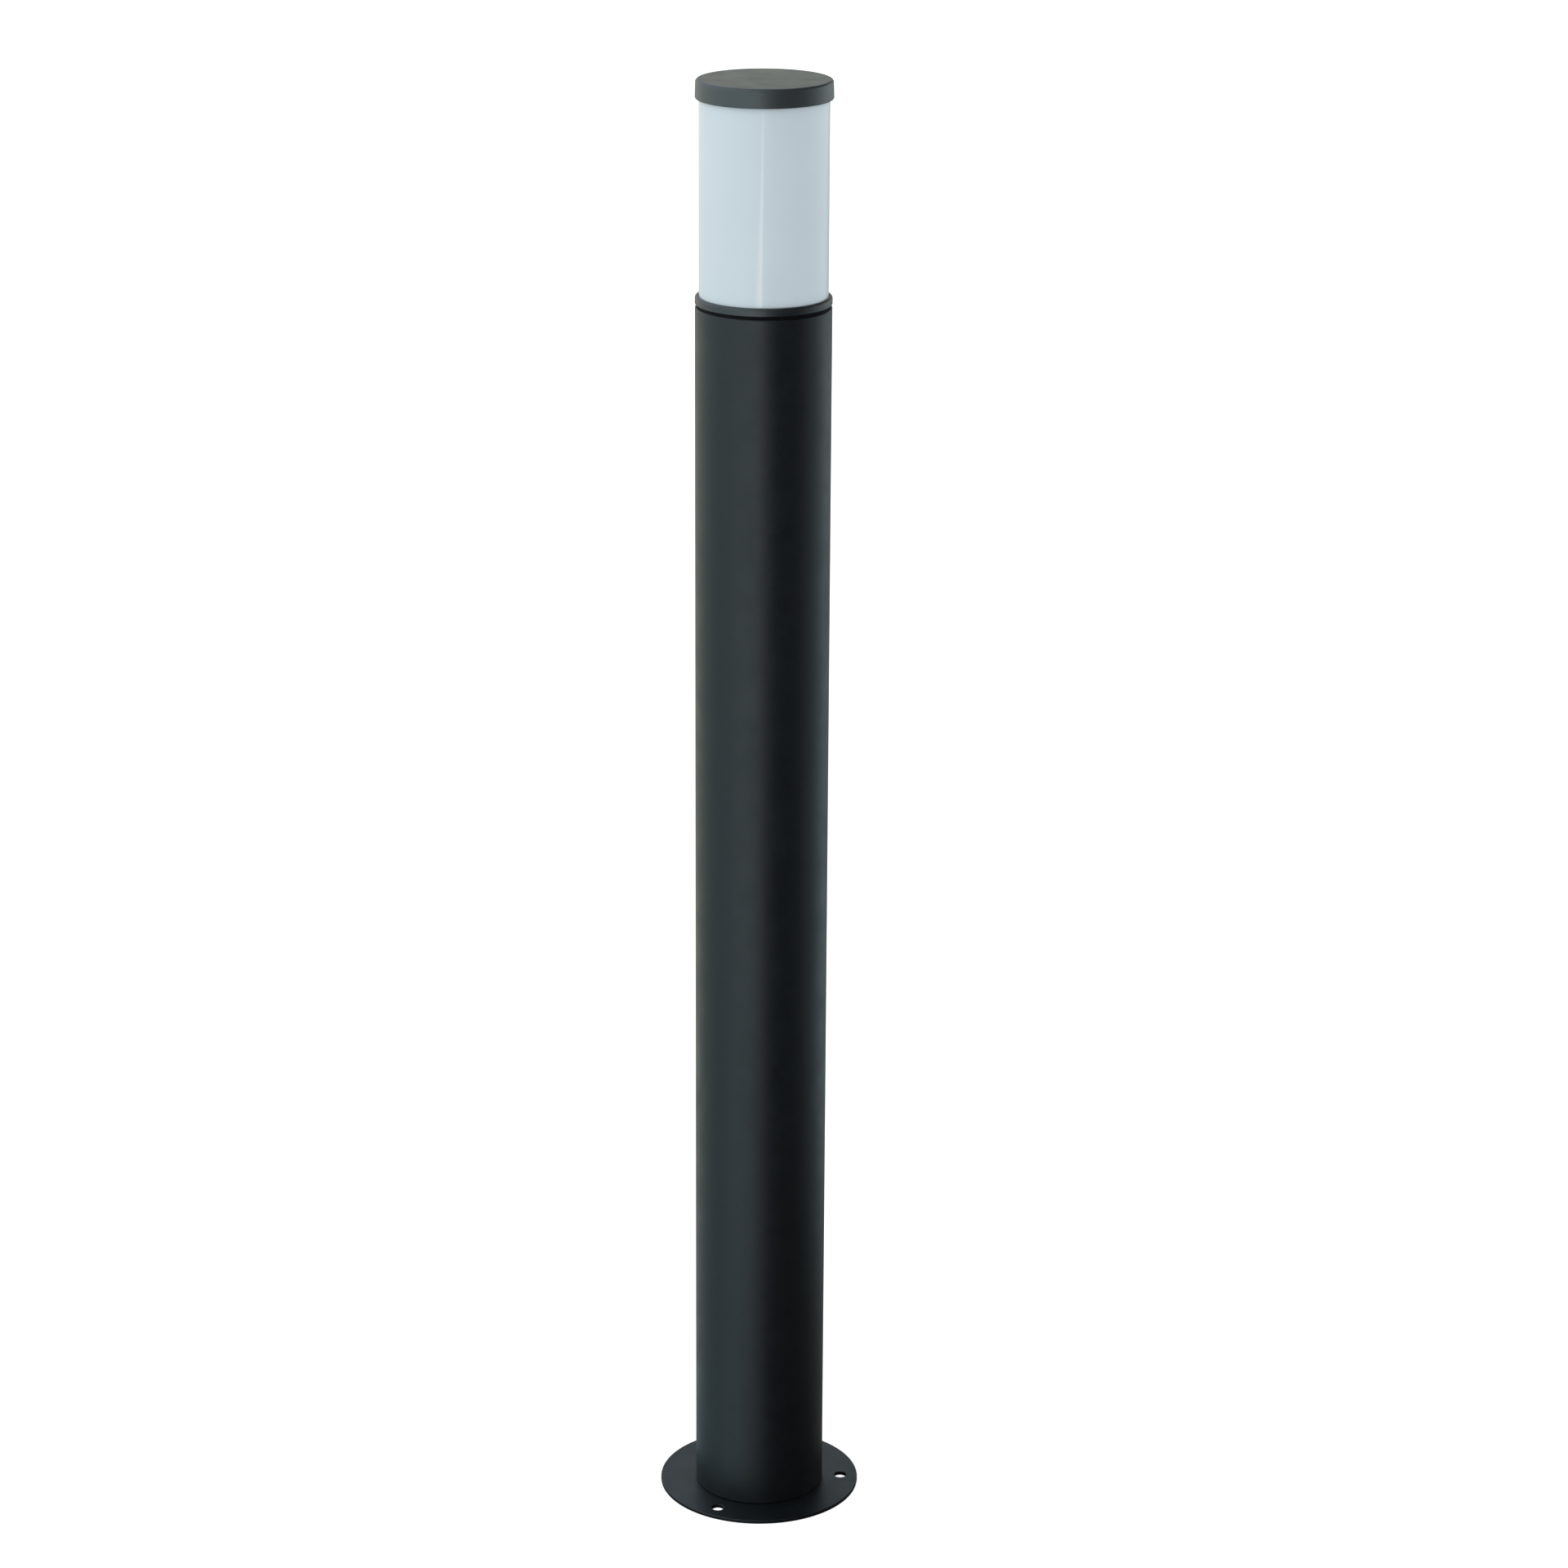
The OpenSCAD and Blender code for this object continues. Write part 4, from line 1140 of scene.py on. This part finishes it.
def studio_world(studio):
    """White for the camera, the studio's glow in reflections, and even ambient light on the object."""
    world = bpy.data.worlds.new("studio")
    world.use_nodes = True
    # The rays that leave a surface find this light by themselves, so each kind of ray gets its own part
    world.cycles.sampling_method = "NONE"
    tree = world.node_tree
    tree.nodes.clear()
    ray = add(tree, "ShaderNodeLightPath").outputs
    direction = add(tree, "ShaderNodeTexCoord").outputs["Generated"]
    white = (1, 1, 1, 1)
    ambient = add(tree, "ShaderNodeBackground", {"Color": white, "Strength": studio.ambient})
    turn = way_round(tree, direction)
    upward = add(tree, "ShaderNodeSeparateXYZ", {0: direction}).outputs["Z"]
    high = rising(tree, upward, sin(studio.backdrop_top), sin(studio.ceiling_start))
    surroundings = blended(tree, high, glow(tree, turn, BACKDROP_RING), glow(tree, turn, CEILING_RING))
    mirrored = add(tree, "ShaderNodeBackground", {"Color": surroundings})
    seen = add(tree, "ShaderNodeBackground", {"Color": white})
    lights = {0: ray["Is Glossy Ray"], 1: ambient.outputs[0], 2: mirrored.outputs[0]}
    lit = add(tree, "ShaderNodeMixShader", lights)
    straight = {0: ray["Is Camera Ray"], 1: ray["Is Transmission Ray"]}
    direct = add(tree, "ShaderNodeMath", straight, operation="MAXIMUM")
    mix = add(tree, "ShaderNodeMixShader", {0: direct.outputs[0], 1: lit.outputs[0], 2: seen.outputs[0]})
    add(tree, "ShaderNodeOutputWorld", {"Surface": mix.outputs[0]})
    return world


def studio_paper(studio):
    """Matt white paper: it keeps shadows, and shows the studio's glow in reflections."""
    material = bpy.data.materials.new("studio_paper")
    material.use_nodes = True
    material.cycles.emission_sampling = "NONE"
    tree = material.node_tree
    tree.nodes.clear()
    ray = add(tree, "ShaderNodeLightPath").outputs
    place = add(tree, "ShaderNodeTexCoord").outputs["Object"]
    matt = add(tree, "ShaderNodeBsdfDiffuse", {"Color": (*studio.paper, 1)})
    lift = add(tree, "ShaderNodeMath", {0: ray["Is Camera Ray"], 1: studio.lift}, operation="MULTIPLY")
    glowing = add(tree, "ShaderNodeEmission", {"Strength": lift.outputs[0]})
    seen = add(tree, "ShaderNodeAddShader", {0: matt.outputs[0], 1: glowing.outputs[0]})
    turn = way_round(tree, place)
    away = add(tree, "ShaderNodeVectorMath", {0: place}, operation="LENGTH").outputs["Value"]
    open_paper = rising(tree, away, studio.foot_end, studio.paper_start)
    backdrop = rising(tree, away, studio.paper_end, studio.backdrop_start)
    # Near the foot, the glow carries the post's painted shadow from the foot ring
    near = blended(tree, open_paper, glow(tree, turn, FOOT_RING), glow(tree, turn, PAPER_RING))
    surroundings = blended(tree, backdrop, near, glow(tree, turn, BACKDROP_RING))
    out_of_shade = rising(tree, away, studio.shade_start, studio.shade_end)
    streak = floor_streak(tree, place, studio)
    gain = add(tree, "ShaderNodeMath", {0: streak, 1: studio.streak_gain, 2: 1}, operation="MULTIPLY_ADD")
    strength = add(tree, "ShaderNodeMath", {0: gain.outputs[0], 1: out_of_shade}, operation="MULTIPLY")
    glowing_paper = blended(tree, streak, surroundings, (*studio.streak, 1))
    mirrored = add(tree, "ShaderNodeEmission", {"Color": glowing_paper, "Strength": strength.outputs[0]})
    shaders = {0: ray["Is Glossy Ray"], 1: seen.outputs[0], 2: mirrored.outputs[0]}
    mix = add(tree, "ShaderNodeMixShader", shaders)
    add(tree, "ShaderNodeOutputMaterial", {"Surface": mix.outputs[0]})
    return material


def place_lamp(studio):
    """A wide distant lamp, which gives the object its soft shade and shows in no reflection."""
    data = bpy.data.lights.new("key", "SUN")
    data.energy = studio.lamp_strength
    data.angle = studio.lamp_spread
    lamp = bpy.data.objects.new("key", data)
    bpy.context.scene.collection.objects.link(lamp)
    lamp.rotation_euler = (radians(90) - studio.lamp_height, 0, studio.lamp_turn)
    lamp.visible_glossy = False


def lay_paper(studio):
    """The round paper ground, with its top at the height of the flange's underside."""
    rim = arc((0, 0), studio.paper_radius, 0, 360, PAPER_FACETS)[:-1]
    ground = add_object("ground", prism(rim, -studio.paper_depth, 0))
    ground.data.materials.append(studio_paper(studio))


def place_camera(studio):
    """The photograph's camera: it stands in front of the post, looks down and leans a little."""
    yaw, pitch, roll = studio.camera_yaw, studio.camera_pitch, studio.camera_roll
    ahead = np.array((sin(yaw) * cos(pitch), cos(yaw) * cos(pitch), -sin(pitch)))
    level = np.array((cos(yaw), -sin(yaw), 0))
    over = np.cross(level, ahead)
    right = cos(roll) * level + sin(roll) * over
    up = cos(roll) * over - sin(roll) * level
    data = bpy.data.cameras.new("camera")
    data.lens = studio.lens
    camera = bpy.data.objects.new("camera", data)
    bpy.context.scene.collection.objects.link(camera)
    turn = Matrix(np.column_stack((right, up, -ahead)).tolist()).to_4x4()
    camera.matrix_world = Matrix.Translation((0, -studio.camera_distance, studio.camera_height)) @ turn
    bpy.context.scene.camera = camera


class PATHLIGHT_OT_studio(bpy.types.Operator):
    """Builds the paper ground, the soft lamp, the world and the camera"""

    bl_idname = "pathlight.studio"
    bl_label = "Studio"

    def execute(self, context):
        studio = values().studio
        place_camera(studio)
        context.scene.world = studio_world(studio)
        context.scene.view_settings.view_transform = "Standard"
        lay_paper(studio)
        place_lamp(studio)
        return {"FINISHED"}


PIECE_OPERATORS = (
    PATHLIGHT_OT_foot_plate,
    PATHLIGHT_OT_post,
    PATHLIGHT_OT_groove_gasket,
    PATHLIGHT_OT_collar,
    PATHLIGHT_OT_opal_tube,
    PATHLIGHT_OT_lid,
    PATHLIGHT_OT_draw_rods,
    PATHLIGHT_OT_screw_shell,
    PATHLIGHT_OT_bulb,
    PATHLIGHT_OT_steelwork,
    PATHLIGHT_OT_brasswork,
    PATHLIGHT_OT_rubber_parts,
    PATHLIGHT_OT_mouldings,
    PATHLIGHT_OT_leads,
)


class PATHLIGHT_PT_panel(bpy.types.Panel):
    """Lists the path light's steps"""

    bl_label = "Path Light"
    bl_idname = "PATHLIGHT_PT_panel"
    bl_space_type = "VIEW_3D"
    bl_region_type = "UI"
    bl_category = "Path Light"

    def draw(self, context):
        column = self.layout.column()
        for operator in (PATHLIGHT_OT_studio, *PIECE_OPERATORS):
            column.operator(operator.bl_idname)


CLASSES = (
    FlangeSizes,
    PostSizes,
    HeadSizes,
    RodSizes,
    ScrewShellSizes,
    BulbSizes,
    FinishValues,
    StudioValues,
    PathLightValues,
    PATHLIGHT_OT_studio,
    *PIECE_OPERATORS,
    PATHLIGHT_PT_panel,
)


def register():
    """Registers the classes and adds the values to the scene."""
    for item in CLASSES:
        bpy.utils.register_class(item)
    bpy.types.Scene.path_light = PointerProperty(type=PathLightValues)


def unregister():
    """Takes the values and the classes away again."""
    del bpy.types.Scene.path_light
    for item in reversed(CLASSES):
        bpy.utils.unregister_class(item)


def main():
    """Builds the studio and each piece in order."""
    register()
    bpy.ops.pathlight.studio()
    bpy.ops.pathlight.foot_plate()
    bpy.ops.pathlight.post()
    bpy.ops.pathlight.groove_gasket()
    bpy.ops.pathlight.collar()
    bpy.ops.pathlight.opal_tube()
    bpy.ops.pathlight.lid()
    bpy.ops.pathlight.draw_rods()
    bpy.ops.pathlight.screw_shell()
    bpy.ops.pathlight.bulb()
    bpy.ops.pathlight.steelwork()
    bpy.ops.pathlight.brasswork()
    bpy.ops.pathlight.rubber_parts()
    bpy.ops.pathlight.mouldings()
    bpy.ops.pathlight.leads()


if __name__ == "__main__":
    main()
